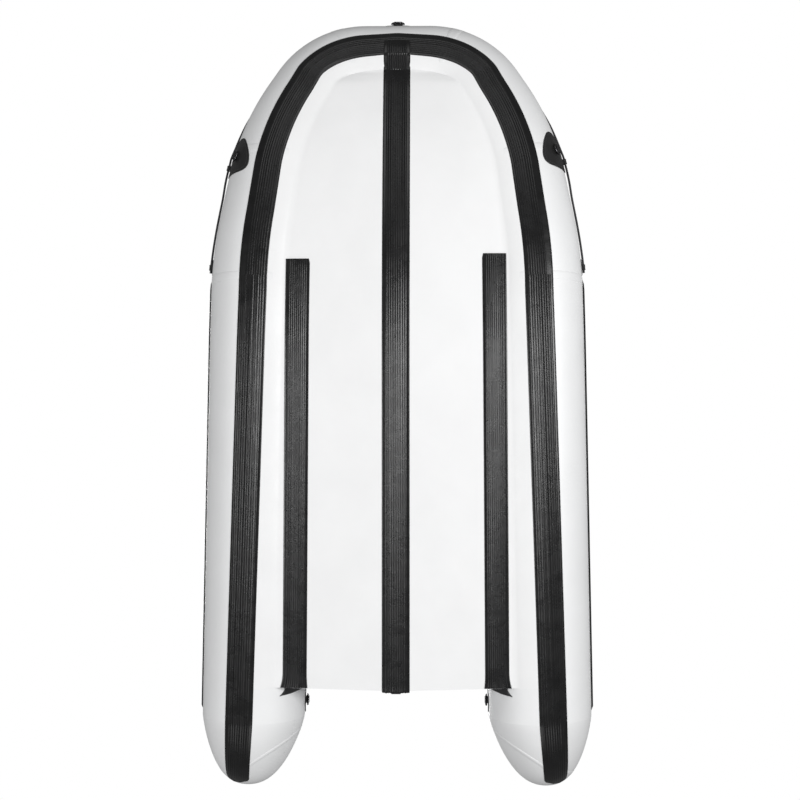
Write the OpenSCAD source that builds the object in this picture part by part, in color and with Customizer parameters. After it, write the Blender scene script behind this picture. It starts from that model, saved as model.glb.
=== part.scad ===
// Inflatable dinghy with an air floor, an air keel and a plywood transom.
// +Y points to the bow, +X to starboard, +Z up. The origin is at the middle of the
// length and the beam, on the ground that the keel and the wear strips rest on.

/* [Tube] */
// Overall length, from the tow ring to the tips of the tail cones
length = 3140; // [2800:10:3800]
// Overall beam across the tubes at the tails
beam = 1560; // [1300:2:1900]
// Outside diameter of the tube
tube_d = 410; // [400:2:440]
// How far each tube leans in from the tail to the shoulder
tube_lean = 38; // [20:1:60]
// Rise of the tube's centre line at the bow
bow_rise = 271; // [200:1:300]
// Length of a tail cone
cone_len = 292; // [240:2:340]
// How far the tip of a tail cone stands outboard of the tube's centre line
cone_out = 22; // [0:1:30]
// How far the tip of a tail cone stands above the tube's centre line
cone_up = 40; // [0:1:60]

/* [Plan of the bow] */
// Distance from the nose back to the shoulder, where the tube starts to turn in
shoulder_back = 989; // [900:1:1100]
// Distance from the nose back to the cheek, where it turns to the diagonal
cheek_back = 514; // [480:1:560]
// How far the cheek lies inboard of the shoulder
cheek_in = 88; // [60:1:110]
// Half width of the bow's cross piece, to its corner on the centre line
bow_half = 260; // [240:1:290]
// Radius of the tube's centre line at the shoulder
shoulder_r = 1650; // [1200:10:1800]
// Radius of the centre line at the cheek
cheek_r = 880; // [600:10:900]
// Radius of the centre line at the corner of the bow
corner_r = 228; // [226:1:240]
// Distance from the nose back to where the bottom starts to rise
rise_back = 1397; // [1200:1:1500]

/* [Strips] */
// Width of the wear strip under the tube
wear_w = 112; // [90:1:125]
// Width of the keel strip
keel_w = 108; // [90:1:125]
// Width of a bottom runner
runner_w = 94; // [70:1:110]
// Thickness of every ribbed strip
strip_t = 4; // [3:0.5:6]
// Angle of the wear strip outboard of the tube's lowest line, at the stern
wear_stern_deg = 11; // [8:1:13]
// Angle of the wear strip amidships
wear_mid_deg = 5; // [2:1:8]
// Angle of the wear strip at the bow
wear_bow_deg = 30; // [26:1:34]
// Gap between a runner's outer edge and the edge of the bottom sheet
runner_inset = 2; // [1:1:10]
// How far a runner spreads outward over its length
runner_spread = 12; // [0:1:16]
// Length of the port runner
runner_len = 1680; // [1400:10:1720]
// How much further aft the starboard runner's front end and side patch sit
stagger = 20; // [0:1:40]
// Width of the rub strake along the side
strake_w = 44; // [36:1:60]
// How far the rub strake stands out
strake_t = 12; // [8:1:16]

/* [Bottom, keel and floor] */
// Thickness of the bottom sheet
sheet_t = 3; // [2:0.5:5]
// Angle inboard of the tube's lowest line where the bottom sheet is glued on
sheet_deg = 30; // [29:1:34]
// How far the bottom sheet reaches behind the transom at the keel
sheet_tail = 14; // [8:1:20]
// Width of the air keel
air_keel_w = 200; // [160:5:240]
// Height of the air keel
air_keel_h = 80; // [60:1:82]
// Thickness of the air floor
floor_t = 60; // [50:1:75]
// Height of the underside of the air floor
floor_z = 92; // [90:1:98]
// Length of the air floor
floor_len = 1730; // [1600:10:1740]
// Gap between the air floor and the tubes
floor_gap = 6; // [4:1:12]

/* [Transom] */
// Distance from the tail tips forward to the transom's aft face
transom_from_tail = 437; // [420:1:460]
// Thickness of the transom board
transom_t = 27; // [22:1:32]
// Height of the transom above the ground amidships
transom_h = 400; // [380:1:420]
// Width of the raised middle of the transom
transom_mid_w = 420; // [360:5:460]
// How much lower the transom's shoulders are
transom_step = 40; // [20:1:60]
// Width of a motor pad
pad_w = 230; // [200:1:260]
// Height of a motor pad
pad_h = 190; // [150:1:210]
// Thickness of a motor pad
pad_t = 8; // [5:0.5:12]
// Radius of a pad bolt
bolt_r = 4; // [3:0.5:5]

/* [Fittings] */
// Radius of a valve's bore
valve_r = 11; // [9:0.5:13]
// Radius of a valve's flange
valve_flange_r = 29; // [26:0.5:34]
// Radius of the drain's bore
drain_r = 13; // [11:0.5:15]
// Radius of the drain's cap
drain_cap_r = 24; // [21:0.5:26]
// Radius of the wire of a ring
ring_wire_r = 3; // [2.5:0.5:4]
// Radius of the grab line
line_r = 4.5; // [4:0.5:5]
// Radius of an oarlock's pin
oar_pin_r = 6; // [5:0.5:8]
// Running clearance of each turning fit, on the radius
turn_gap = 0.1; // [0.05:0.05:0.1]
// Gap between pieces that are glued over a curved surface
glue_gap = 0.6; // [0.4:0.1:1]
// Length of the bench seat across the boat
bench_len = 850; // [800:5:880]
// Width of the bench seat fore and aft
bench_w = 220; // [180:5:260]
// Thickness of the bench seat
bench_t = 18; // [15:1:24]
// Distance of the bench seat's middle from the boat's middle
bench_y = -60; // [-300:10:-60]

/* [Hidden] */
$fn = 48;

// Places along the boat
ring_reach = 28;
tube_r = tube_d / 2;
tube_z = tube_r + glue_gap + strip_t;
nose_y = length / 2 - ring_reach;
tail_y = -length / 2;
seam_y = tail_y + cone_len;
seam_x = beam / 2 - tube_r;
bow_y = nose_y - tube_r;
rise_y = nose_y - rise_back;
transom_y = tail_y + transom_from_tail;
transom_front = transom_y + transom_t;

// Centre line of the starboard half of the tube, from the tail seam to the nose, with the
// corners rounded, then mirrored to the port side
shoulder = [seam_x - tube_lean, nose_y - shoulder_back];
cheek = [shoulder[0] - cheek_in, nose_y - cheek_back];
corner = [bow_half, bow_y];
fillet_steps = 8;
function unit(v) = v / norm(v);
function rounded(a, b, c, r) =
    let (u = unit(a - b), v = unit(c - b),
         half = acos(u * v) / 2,
         reach = r / tan(half),
         from = b + u * reach,
         mid = b + unit(u + v) * r / sin(half))
    [for (k = [0:fillet_steps])
        let (turn = (180 - 2 * half) * k / fillet_steps,
             w = from - mid)
        mid + [w[0] * cos(turn) - w[1] * sin(turn), w[0] * sin(turn) + w[1] * cos(turn)]];
half_plan = concat([[seam_x, seam_y]],
    rounded([seam_x, seam_y], shoulder, cheek, shoulder_r),
    rounded(shoulder, cheek, corner, cheek_r),
    rounded(cheek, corner, [0, bow_y], corner_r));
plan = concat(half_plan, [for (k = [len(half_plan) - 1:-1:0]) [-half_plan[k][0], half_plan[k][1]]]);
function run_to(k) = k == 0 ? 0 : norm(plan[k] - plan[k - 1]) + run_to(k - 1);
plan_run = [for (k = [0:len(plan) - 1]) run_to(k)];
plan_x = [for (k = [0:len(plan) - 1]) [plan_run[k], plan[k][0]]];
plan_y = [for (k = [0:len(plan) - 1]) [plan_run[k], plan[k][1]]];
full_run = plan_run[len(plan) - 1];
half_run = full_run / 2;

// A point of the centre line, and the directions along, out of and under the tube there
function rise(y) = bow_rise * pow(max(0, y - rise_y) / (bow_y - rise_y), 2);
function axis(s) = let (y = lookup(s, plan_y)) [lookup(s, plan_x), y, tube_z + rise(y)];
function along(s) = unit(axis(min(s + 2, full_run)) - axis(max(s - 2, 0)));
function outward(s) = unit(cross(along(s), [0, 0, 1]));
function under(s) = -cross(outward(s), along(s));
function skin(s, deg, r) = axis(s) + r * (cos(deg) * under(s) + sin(deg) * outward(s));

// Runs at which a centre-line point lies at a given distance along the boat
run_of_y = [for (s = [0:20:half_run - 120]) [lookup(s, plan_y), s]];
function run_at(y) = lookup(y, run_of_y);
baffle_run = run_at(bow_y - 889);

// A flat cap over a ring of n points, as triangles between its two halves, or as one face where it is notched
function ladder(n) = [for (j = [0:floor((n - 1) / 2) - 1]) each concat(
    j + 1 < n - 2 - j ? [[j, j + 1, n - 2 - j]] : [],
    [[j, n - 2 - j, n - 1 - j]])];
// A solid through a list of rings, each the same number of points, closed at both ends
module loft(rings, notched = false) {
    n = len(rings[0]);
    last = len(rings) - 1;
    cap = notched ? [[for (j = [0:n - 1]) j]] : ladder(n);
    polyhedron(
        points = [for (ring = rings) each ring],
        faces = concat(
            [for (i = [0:last - 1], j = [0:n - 1])
                [i * n + j, i * n + (j + 1) % n, (i + 1) * n + (j + 1) % n]],
            [for (i = [0:last - 1], j = [0:n - 1])
                [i * n + j, (i + 1) * n + (j + 1) % n, (i + 1) * n + j]],
            [for (face = cap) [for (j = [len(face) - 1:-1:0]) face[j]]],
            [for (face = cap) [for (j = face) last * n + j]]));
}

// A curved band that lies on the tube between two angles at each run
band_steps = 10;
function band_ring(s, low, high, r0, r1) = concat(
    [for (k = [0:band_steps]) skin(s, low + (high - low) * k / band_steps, r1)],
    [for (k = [band_steps:-1:0]) skin(s, low + (high - low) * k / band_steps, r0)]);

// Puts a child on the tube's skin: X along the tube, Z out of the skin
module on_tube(s, deg, lift = 0) {
    n = cos(deg) * under(s) + sin(deg) * outward(s);
    t = along(s);
    b = cross(n, t);
    o = axis(s) + n * (tube_r + lift);
    multmatrix([[t[0], b[0], n[0], o[0]], [t[1], b[1], n[1], o[1]], [t[2], b[2], n[2], o[2]], [0, 0, 0, 1]])
        children();
}

// Draws a child on the starboard side, or mirrored on the port side
module side(port) {
    mirror([port ? 1 : 0, 0, 0]) children();
}
module both_sides() {
    side(false) children();
    side(true) children();
}

white = "white";
black = [0.14, 0.14, 0.15];
grey = [0.55, 0.57, 0.6];

// ---- Tube ----
tube_sides = 32;
valve_run = run_at(transom_y + 260);
bow_valve_run = run_at(bow_y - 480);
valve_deg = 240;
pocket_r = 22;
pocket_depth = 50;
wall_gap = 0.3;
function tube_ring(s) = [for (j = [0:tube_sides - 1]) skin(s, 360 * j / tube_sides, tube_r)];
module valve_pocket(s) {
    on_tube(s, valve_deg, -pocket_depth) cylinder(r = pocket_r, h = pocket_depth + 20);
}
baffle_t = 3;
side_steps = 14;
bow_steps = 58;
// A chamber's end ring stands parallel to the baffle it meets
baffle_room = baffle_t / 2 + wall_gap;
function end_ring(s, shift) = [for (p = tube_ring(s)) p + along(s) * shift];
module side_chamber(port) {
    color(white) side(port) difference() {
        loft(concat([for (k = [0:side_steps - 1]) tube_ring(baffle_run * k / side_steps)],
            [end_ring(baffle_run, -baffle_room)]));
        valve_pocket(valve_run);
    }
}
module port_chamber() { side_chamber(true); }
module starboard_chamber() { side_chamber(false); }
module bow_chamber() {
    step = (full_run - 2 * baffle_run) / bow_steps;
    color(white) difference() {
        loft(concat([end_ring(baffle_run, baffle_room)],
            [for (k = [1:bow_steps - 1]) tube_ring(baffle_run + step * k)],
            [end_ring(full_run - baffle_run, -baffle_room)]));
        valve_pocket(bow_valve_run);
    }
}
module baffle() {
    on_tube(baffle_run, 0, -tube_r) rotate([0, 90, 0])
        cylinder(r = tube_r - 1, h = baffle_t, center = true);
}
module chamber_baffles() {
    color(grey) both_sides() baffle();
}

// ---- Tail cones ----
cone_stops = [0, 0.2, 0.38, 0.54, 0.68, 0.79, 0.87, 0.93, 0.97, 0.99, 0.998];
function cone_r(u) = tube_r * pow(1 - pow(u, 1.2), 0.4);
function cone_axis(u) = axis(0) - along(0) * (cone_len * u + wall_gap)
    + outward(0) * cone_out * pow(u, 1.2) + [0, 0, cone_up * pow(u, 1.5)];
function cone_skin(u, deg, r) = cone_axis(u) + r * (cos(deg) * under(0) + sin(deg) * outward(0));
module tail_cone(port) {
    last = len(cone_stops) - 1;
    color(white) side(port) loft([for (k = [last:-1:0])
        [for (j = [0:tube_sides - 1]) cone_skin(cone_stops[k], 360 * j / tube_sides, cone_r(cone_stops[k]))]]);
}
module port_tail_cone() { tail_cone(true); }
module starboard_tail_cone() { tail_cone(false); }

// ---- Wear strips ----
wear_half = wear_w / 2 / tube_r * 180 / PI;
wear_turn_run = run_at(bow_y - 950);
function wear_deg(s) = s < wear_turn_run
    ? wear_stern_deg + (wear_mid_deg - wear_stern_deg) * s / wear_turn_run
    : wear_mid_deg + (wear_bow_deg - wear_mid_deg)
        * pow((min(s, full_run - s) - wear_turn_run) / (half_run - wear_turn_run), 1.5);
strip_r0 = tube_r + glue_gap;
strip_r1 = strip_r0 + strip_t;
joint_gap = 1;
function wear_ring(s) = band_ring(s, wear_deg(s) - wear_half, wear_deg(s) + wear_half, strip_r0, strip_r1);
cone_wear_end = 7;
function cone_wear_ring(u) =
    let (r = cone_r(u),
         mid = asin(tube_r * sin(wear_stern_deg) / r),
         half = wear_w / 2 / r * 180 / PI * 0.9)
    let (low = mid - half, high = mid + half, in_r = r + glue_gap * (1 + 1.5 * u))
    concat([for (k = [0:band_steps]) cone_skin(u, low + (high - low) * k / band_steps, in_r + strip_t)],
           [for (k = [band_steps:-1:0]) cone_skin(u, low + (high - low) * k / band_steps, in_r)]);
module side_wear_strip(port) {
    last = baffle_run - joint_gap;
    color(black) side(port) loft(concat(
        [for (k = [cone_wear_end:-1:1]) cone_wear_ring(cone_stops[k])],
        [for (k = [0:side_steps]) wear_ring(1 + (last - 1) * k / side_steps)]));
}
module port_wear_strip() { side_wear_strip(true); }
module starboard_wear_strip() { side_wear_strip(false); }
module bow_wear_strip() {
    from = baffle_run + joint_gap;
    color(black) loft([for (k = [0:bow_steps]) wear_ring(from + (full_run - 2 * from) * k / bow_steps)]);
}

// ---- Bottom sheet ----
// The sheet leaves the tube at sheet_deg amidships, and nearer the lowest line at the bow
function sheet_turn(s) =
    -sheet_deg * (1 - pow(max(0, (s - wear_turn_run) / (half_run - wear_turn_run)), 1.3) * 0.92);
edge_runs = [for (k = [0:60]) (half_run - 20) * k / 60];
function edge_table(r, c) = [for (s = edge_runs) let (p = skin(s, sheet_turn(s), r)) [p[1], p[c]]];
edge_in_x = edge_table(tube_r + glue_gap, 0);
edge_in_z = edge_table(tube_r + glue_gap, 2);
edge_out_x = edge_table(tube_r + glue_gap + sheet_t, 0);
edge_out_z = edge_table(tube_r + glue_gap + sheet_t, 2);
keel_low = glue_gap + strip_t;
sheet_front = bow_y - tube_r * sin(sheet_deg * 0.08) - 2;
sheet_aft = transom_y - sheet_tail;
side_tail = 10;
function keel_z(y) = keel_low + rise(y);
function low_z(x, y) = keel_z(y) + (lookup(y, edge_out_z) - keel_z(y)) * min(1, abs(x) / lookup(y, edge_out_x));
sheet_stops = [for (k = [0:34]) sheet_aft + (sheet_front - sheet_aft) * k / 34];
sheet_half = 8;
// The aft edge is cut back towards the sides
function sheet_y(k, u) = k == 0 ? sheet_aft + (sheet_tail - side_tail + 20) * abs(u) : sheet_stops[k];
function sheet_ring(k) = concat(
    [for (j = [-sheet_half:sheet_half]) let (u = j / sheet_half, y = sheet_y(k, u))
        [u * lookup(y, edge_out_x), y, low_z(u * lookup(y, edge_out_x), y)]],
    [for (j = [sheet_half:-1:-sheet_half]) let (u = j / sheet_half, y = sheet_y(k, u), x = lookup(y, edge_in_x))
        [u * x, y, keel_z(y) + sheet_t + (lookup(y, edge_in_z) - keel_z(y) - sheet_t) * abs(u)]]);
module hull_bottom() {
    color(white) loft([for (k = [0:len(sheet_stops) - 1]) sheet_ring(k)]);
}

// ---- Strips on the bottom ----
// A flat strip under the sheet between two distances from the centre line
function under_ring(y, x0, x1, drop0, drop1) = concat(
    [for (k = [0:band_steps]) let (x = x0 + (x1 - x0) * k / band_steps) [x, y, low_z(x, y) - drop1]],
    [for (k = [band_steps:-1:0]) let (x = x0 + (x1 - x0) * k / band_steps) [x, y, low_z(x, y) - drop0]]);
function nose_z(y, r) = axis(half_run)[2] - sqrt(r * r - pow(y - bow_y, 2));
function nose_strip_ring(y) = concat(
    [for (k = [0:band_steps]) [keel_w * (k / band_steps - 0.5), y, nose_z(y, strip_r1)]],
    [for (k = [band_steps:-1:0]) [keel_w * (k / band_steps - 0.5), y, nose_z(y, strip_r0)]]);
keel_aft = sheet_aft;
keel_front = sheet_front + 2;
keel_tip = bow_y + strip_r0 * sin(wear_deg(half_run - keel_w / 2) - wear_half) - 2 * joint_gap;
module keel_strip() {
    color(black) loft(concat(
        [for (k = [0:26]) under_ring(keel_aft + (keel_front - keel_aft) * k / 26,
            -keel_w / 2, keel_w / 2, glue_gap, glue_gap + strip_t)],
        [for (k = [1:4]) nose_strip_ring(sheet_front + 4 + (keel_tip - sheet_front - 4) * k / 4)]));
}
runner_aft = transom_y + 10;
module runner(port) {
    front = runner_aft + runner_len - (port ? 0 : stagger);
    outer = lookup(runner_aft + runner_len, edge_out_x) - runner_inset;
    color(black) side(port) loft([for (k = [0:16])
        let (y = runner_aft + (front - runner_aft) * k / 16,
             x = outer + runner_spread * (1 - k / 16))
        under_ring(y, x - runner_w, x, glue_gap, glue_gap + strip_t)]);
}
module port_runner() { runner(true); }
module starboard_runner() { runner(false); }

// ---- Rub strakes ----
strake_deg = 98;
strake_half = strake_w / 2 / tube_r * 180 / PI;
strake_end = run_at(bow_y - 872);
strake_lip = 3;
function strake_ring(s) = concat(
    [skin(s, strake_deg - strake_half, strip_r0 + strake_lip),
     skin(s, strake_deg - strake_half * 0.45, strip_r0 + strake_t),
     skin(s, strake_deg + strake_half * 0.45, strip_r0 + strake_t),
     skin(s, strake_deg + strake_half, strip_r0 + strake_lip)],
    [for (k = [2:-1:-2]) skin(s, strake_deg + strake_half * k / 2, strip_r0)]);
module rub_strake(port) {
    color(black) side(port) loft([for (k = [0:side_steps]) strake_ring(4 + (strake_end - 4) * k / side_steps)]);
}
module port_rub_strake() { rub_strake(true); }
module starboard_rub_strake() { rub_strake(false); }

// ---- Air keel and floor ----
floor_aft = transom_front + 76;
floor_front = floor_aft + floor_len;
part_gap = 0.5;
bulge_x = [for (s = edge_runs) let (p = skin(s, -90, tube_r)) [p[1], p[0]]];
keel_stops = [0, 0.01, 0.03, 0.2, 0.4, 0.6, 0.75, 0.88, 0.95, 0.985, 1];
keel_share = [0.8, 0.95, 1, 1, 1, 1, 0.95, 0.8, 0.6, 0.35, 0.15];
air_keel_aft = transom_front + 12;
air_keel_front = floor_front - 70;
function air_keel_ring(k) =
    let (y = air_keel_aft + (air_keel_front - air_keel_aft) * keel_stops[k],
         top = floor_z - part_gap,
         low = max(top - air_keel_h, keel_z(y) + sheet_t + 3),
         mid = (top + low) / 2,
         tall = (top - low) / 2 * (0.4 + 0.6 * keel_share[k]),
         wide = air_keel_w / 2 * keel_share[k])
    [for (j = [0:15]) [wide * sin(22.5 * j), y, mid - tall * cos(22.5 * j)]];
module air_keel() {
    color(grey) difference() {
        loft([for (k = [0:len(keel_stops) - 1]) air_keel_ring(k)]);
        translate([0, keel_valve_y, floor_z - pocket_depth]) cylinder(r = pocket_r, h = pocket_depth + 5);
    }
}
nose_cut = 110;
nose_side_y = floor_front - 120;
floor_side = [for (k = [0:8]) let (y = floor_aft + (nose_side_y - floor_aft) * k / 8)
    [lookup(y, bulge_x) - floor_gap, y]];
floor_nose = [for (k = [1:6]) let (a = 15 * k)
    [floor_side[8][0] - nose_cut * (1 - cos(a)), nose_side_y + (floor_front - nose_side_y) * sin(a)]];
floor_half = concat(floor_side, floor_nose);
module air_floor() {
    color(grey) difference() {
        translate([0, 0, floor_z]) linear_extrude(floor_t)
            polygon(concat(floor_half, [for (k = [len(floor_half) - 1:-1:0]) [-floor_half[k][0], floor_half[k][1]]]));
        translate([floor_valve_x, floor_valve_y, floor_z + floor_t - pocket_depth])
            cylinder(r = pocket_r, h = pocket_depth + 5);
    }
}

// ---- Transom ----
holder_t = 4;
board_gap = 1;
transom_run = run_at(transom_y);
transom_tube_x = lookup(transom_run, plan_x);
board_r = tube_r + glue_gap + holder_t + board_gap;
board_half = transom_tube_x - 125;
shoulder_z = transom_h - transom_step;
function sheet_top(x) = keel_z(transom_y) + sheet_t
    + (lookup(transom_y, edge_in_z) - keel_z(transom_y) - sheet_t) * abs(x) / lookup(transom_y, edge_in_x);
mid_half = transom_mid_w / 2;
step_run = 45;
function board_top(up) = [
    [board_half, shoulder_z + up], [mid_half + step_run, shoulder_z + up], [mid_half, transom_h + up],
    [-mid_half, transom_h + up], [-mid_half - step_run, shoulder_z + up], [-board_half, shoulder_z + up]];
bolt_x = pad_w / 2 - 28;
bolt_low = transom_h - 12 - pad_h + 30;
bolt_high = transom_h - 12 - 30;
bolt_gap = 0.2;
drain_z = 48;
drain_barrel = drain_r + 4;
module board_outline(up = 0) {
    difference() {
        polygon(concat([[-board_half, sheet_top(board_half) + part_gap], [0, sheet_top(0) + part_gap],
            [board_half, sheet_top(board_half) + part_gap]], board_top(up)));
        for (turn = [-1, 1]) translate([turn * transom_tube_x, tube_z]) circle(r = board_r, $fn = 96);
    }
}
// Stands a flat outline up across the boat, its back face at y and its thickness forward
module upright(y, t) {
    translate([0, y + t, 0]) rotate([90, 0, 0]) linear_extrude(t) children();
}
module bolt_holes(r) {
    for (x = [-bolt_x, bolt_x], z = [bolt_low, bolt_high])
        translate([x, transom_y - 60, z]) rotate([-90, 0, 0]) cylinder(r = r, h = 140);
}
module transom_board() {
    color([0.6, 0.6, 0.6]) difference() {
        upright(transom_y, transom_t) board_outline();
        bolt_holes(bolt_r + bolt_gap);
        translate([0, transom_y - 5, drain_z]) rotate([-90, 0, 0])
            cylinder(r = drain_barrel + bolt_gap, h = transom_t + 10);
    }
}
trim_t = 3;
trim_lip = 8;
module transom_trim() {
    band = concat(board_top(trim_t), [for (k = [5:-1:0]) board_top(-trim_lip)[k]]);
    color(black) difference() {
        upright(transom_y - trim_t, transom_t + 2 * trim_t) difference() {
            polygon(band);
            for (turn = [-1, 1]) translate([turn * transom_tube_x, tube_z])
                circle(r = board_r + 26, $fn = 96);
        }
        upright(transom_y - part_gap / 2, transom_t + part_gap)
            polygon(concat([[-board_half - 5, 0], [board_half + 5, 0]], board_top(part_gap / 2)));
    }
}
module pad(y) {
    translate([-pad_w / 2, y, transom_h - 12 - pad_h]) cube([pad_w, pad_t, pad_h]);
}
head_r = 8;
head_t = pad_t / 2;
// The heads and nuts lie in pockets below the faces of the pads
head_sink = 1;
head_pocket = head_r + 1;
module head_pockets() {
    depth = head_t + head_sink;
    aft = transom_y - pad_t - 1;
    fore = transom_front + pad_t - depth;
    for (x = [-bolt_x, bolt_x], z = [bolt_low, bolt_high], y = [aft, fore])
        translate([x, y, z]) rotate([-90, 0, 0]) cylinder(r = head_pocket, h = depth + 1);
}
module motor_pads() {
    color(black) difference() {
        union() {
            pad(transom_y - pad_t);
            pad(transom_front);
        }
        bolt_holes(bolt_r + bolt_gap);
        head_pockets();
    }
}
module pad_bolts() {
    bolt_len = transom_t + 2 * (pad_t - head_sink);
    color("silver") for (x = [-bolt_x, bolt_x], z = [bolt_low, bolt_high])
        translate([x, transom_y - pad_t + head_sink, z]) rotate([-90, 0, 0]) {
            cylinder(r = bolt_r, h = bolt_len);
            cylinder(r = head_r, h = head_t);
            translate([0, 0, bolt_len - head_t]) cylinder(r = head_r, h = head_t, $fn = 6);
        }
}
// The holder wraps the inboard side of the tube and its after flange ends in a curved claw.
// Each stop is an angle, the flange's front and back edges from the board, and the wall's share
holder_stops = [[-142, 14, 14, 0.1], [-132, 22, 22, 1], [-112, 22, 26, 1], [-92, 22, 30, 1], [-72, 22, 32, 1],
    [-60, 20, 34, 0.9], [-52, 14, 37, 0.4], [-46, 9.5, 39, 0.1], [-41, 9.2, 40, 0.05]];
claw_deg = -36;
wall_h = 22;
wall_t = 8;
holder_step = 4;
// The angles at which the holder is drawn, and each of its shares between two stops
holder_degs = [for (deg = [holder_stops[0][0]:holder_step:holder_stops[8][0] - 1]) deg, holder_stops[8][0]];
function stop_at(deg, c) = lookup(deg, [for (stop = holder_stops) [stop[0], stop[c]]]);
// A point of the tube's skin moved along the tube to lie at y
function holder_point(deg, y, r) =
    let (s = run_at(y), p = skin(s, deg, r), a = along(s))
    p + a * (y - p[1]) / a[1];
function holder_ring(deg) =
    let (low = tube_r + glue_gap, base = low + holder_t, top = base + wall_h * stop_at(deg, 3),
         back = transom_y - wall_gap, front = transom_front + wall_gap,
         from = transom_y - stop_at(deg, 2), to = transom_front + stop_at(deg, 1))
    [for (p = [[from, low], [to, low], [to, base], [front + wall_t, base], [front + wall_t, top], [front, top],
        [front, base], [back, base], [back, top], [back - wall_t, top], [back - wall_t, base], [from, base]])
        holder_point(deg, p[0], p[1])];
function claw_ring(deg, from, to) =
    let (low = tube_r + glue_gap, base = low + holder_t)
    [for (p = [[from, low], [to, low], [to, base], [from, base]]) holder_point(deg, p[0], p[1])];
module holder(port) {
    color(black) side(port) union() {
        loft([for (deg = holder_degs) holder_ring(deg)], notched = true);
        loft([claw_ring(-41, transom_y - 40, transom_y - 22), claw_ring(claw_deg, transom_y - 42, transom_y - 39)]);
    }
}
module port_transom_holder() { holder(true); }
module starboard_transom_holder() { holder(false); }
module at_drain() {
    translate([0, transom_y, drain_z]) rotate([90, 0, 0]) children();
}
drain_flange = drain_cap_r + 2;
drain_flange_t = 5;
module drain_body() {
    color(black) at_drain() rotate_extrude() polygon([
        [drain_r, drain_flange_t], [drain_r, -transom_t - 10], [drain_barrel, -transom_t - 10],
        [drain_barrel, -transom_t - 8], [drain_flange, -transom_t - 8], [drain_flange, -transom_t],
        [drain_barrel, -transom_t], [drain_barrel, 0], [drain_flange, 0], [drain_flange, drain_flange_t]]);
}
module drain_plug() {
    color(black) at_drain() {
        translate([0, 0, -10]) cylinder(r = drain_r - turn_gap, h = 10 + drain_flange_t + wall_gap);
        translate([0, 0, drain_flange_t + wall_gap]) cylinder(r = drain_cap_r, h = 20);
        translate([-18, -4, drain_flange_t + wall_gap + 20]) cube([36, 8, 8]);
    }
}

// ---- Rings and patches ----
patch_t = 3;
patch_top = glue_gap + patch_t;
foot_gap = 0.5;
function patch_ring(s, mid, half) = band_ring(s, mid - half, mid + half, strip_r0, tube_r + patch_top);
// Outlines as shares of the patch's half width, from its after end to its front end
oval = [[-1, 0.25], [-0.85, 0.62], [-0.5, 0.9], [0, 1], [0.5, 0.9], [0.85, 0.62], [1, 0.25]];
triangle = [[-1, 0.55], [-0.92, 0.8], [-0.75, 0.96], [-0.45, 1], [0, 0.88], [0.4, 0.68], [0.75, 0.42], [0.94, 0.22], [1, 0.1]];
module patch(s, deg, half_len, half_w, outline) {
    half_deg = half_w / tube_r * 180 / PI;
    loft([for (p = outline) patch_ring(s + half_len * p[0], deg, half_deg * p[1])]);
}
// A webbing sleeve that holds the straight side of a ring
module sleeve(wire, len, outer) {
    h = patch_top + outer;
    difference() {
        union() {
            translate([-len / 2, 0, h]) rotate([0, 90, 0]) cylinder(r = outer, h = len);
            translate([-len / 2, -outer, patch_top + foot_gap]) cube([len, 2 * outer, outer - foot_gap]);
        }
        translate([-len / 2 - 1, 0, h]) rotate([0, 90, 0]) cylinder(r = wire + turn_gap, h = len + 2);
    }
}
// The ring hangs from its straight side along -Y
module dee(wire, half, outer) {
    translate([0, 0, patch_top + outer]) {
        translate([-half, 0, 0]) rotate([0, 90, 0]) cylinder(r = wire, h = 2 * half);
        rotate_extrude(angle = -180) translate([half, 0]) circle(r = wire);
        for (x = [-half, half]) translate([x, 0, 0]) sphere(r = wire);
    }
}
side_outer = 7;
side_half = 22;
side_sleeve = 28;
tow_wire = ring_wire_r + 1;
tow_outer = 11;
tow_half = 25;
tow_sleeve = 34;
tow_deg = 92;
side_deg = 62;
stern_deg = -100;
function side_run(port) = run_at(nose_y - 625 - (port ? 0 : stagger));
stern_run = 54;
module bow_patch() {
    color(black) {
        patch(half_run, tow_deg, 65, 36, oval);
        on_tube(half_run, tow_deg) sleeve(tow_wire, tow_sleeve, tow_outer);
    }
}
module tow_ring() {
    color("silver") on_tube(half_run, tow_deg) dee(tow_wire, tow_half, tow_outer);
}
eye_h = 10.5;
eye_gap = 0.7;
eye_wall = 3;
// A moulded eye that the grab line passes through
module eye(len) {
    outer = line_r + eye_gap + eye_wall;
    difference() {
        union() {
            translate([-len / 2, 0, eye_h]) rotate([0, 90, 0]) cylinder(r = outer, h = len);
            translate([-len / 2, -outer, patch_top + foot_gap]) cube([len, 2 * outer, eye_h - patch_top - foot_gap]);
        }
        translate([-len / 2 - 1, 0, eye_h]) rotate([0, 90, 0]) cylinder(r = line_r + eye_gap, h = len + 2);
    }
}
line_deg = 86;
module side_patches() {
    color(black) for (port = [false, true]) side(port) {
        patch(side_run(port), side_deg, 66, 98, triangle);
        on_tube(side_run(port), side_deg) sleeve(ring_wire_r, side_sleeve, side_outer);
        on_tube(side_run(port) - 18, line_deg) eye(20);
    }
}
module side_ring(port) {
    color("silver") side(port) on_tube(side_run(port), side_deg) dee(ring_wire_r, side_half, side_outer);
}
module port_side_ring() { side_ring(true); }
module starboard_side_ring() { side_ring(false); }
module stern_patches() {
    color(black) both_sides() {
        patch(stern_run, stern_deg, 50, 50, oval);
        on_tube(stern_run, stern_deg) sleeve(ring_wire_r, side_sleeve, side_outer);
    }
}
module stern_ring(port) {
    color("silver") side(port) on_tube(stern_run, stern_deg) rotate([0, 0, 180]) dee(ring_wire_r, side_half, side_outer);
}
module port_stern_ring() { stern_ring(true); }
module starboard_stern_ring() { stern_ring(false); }

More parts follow.
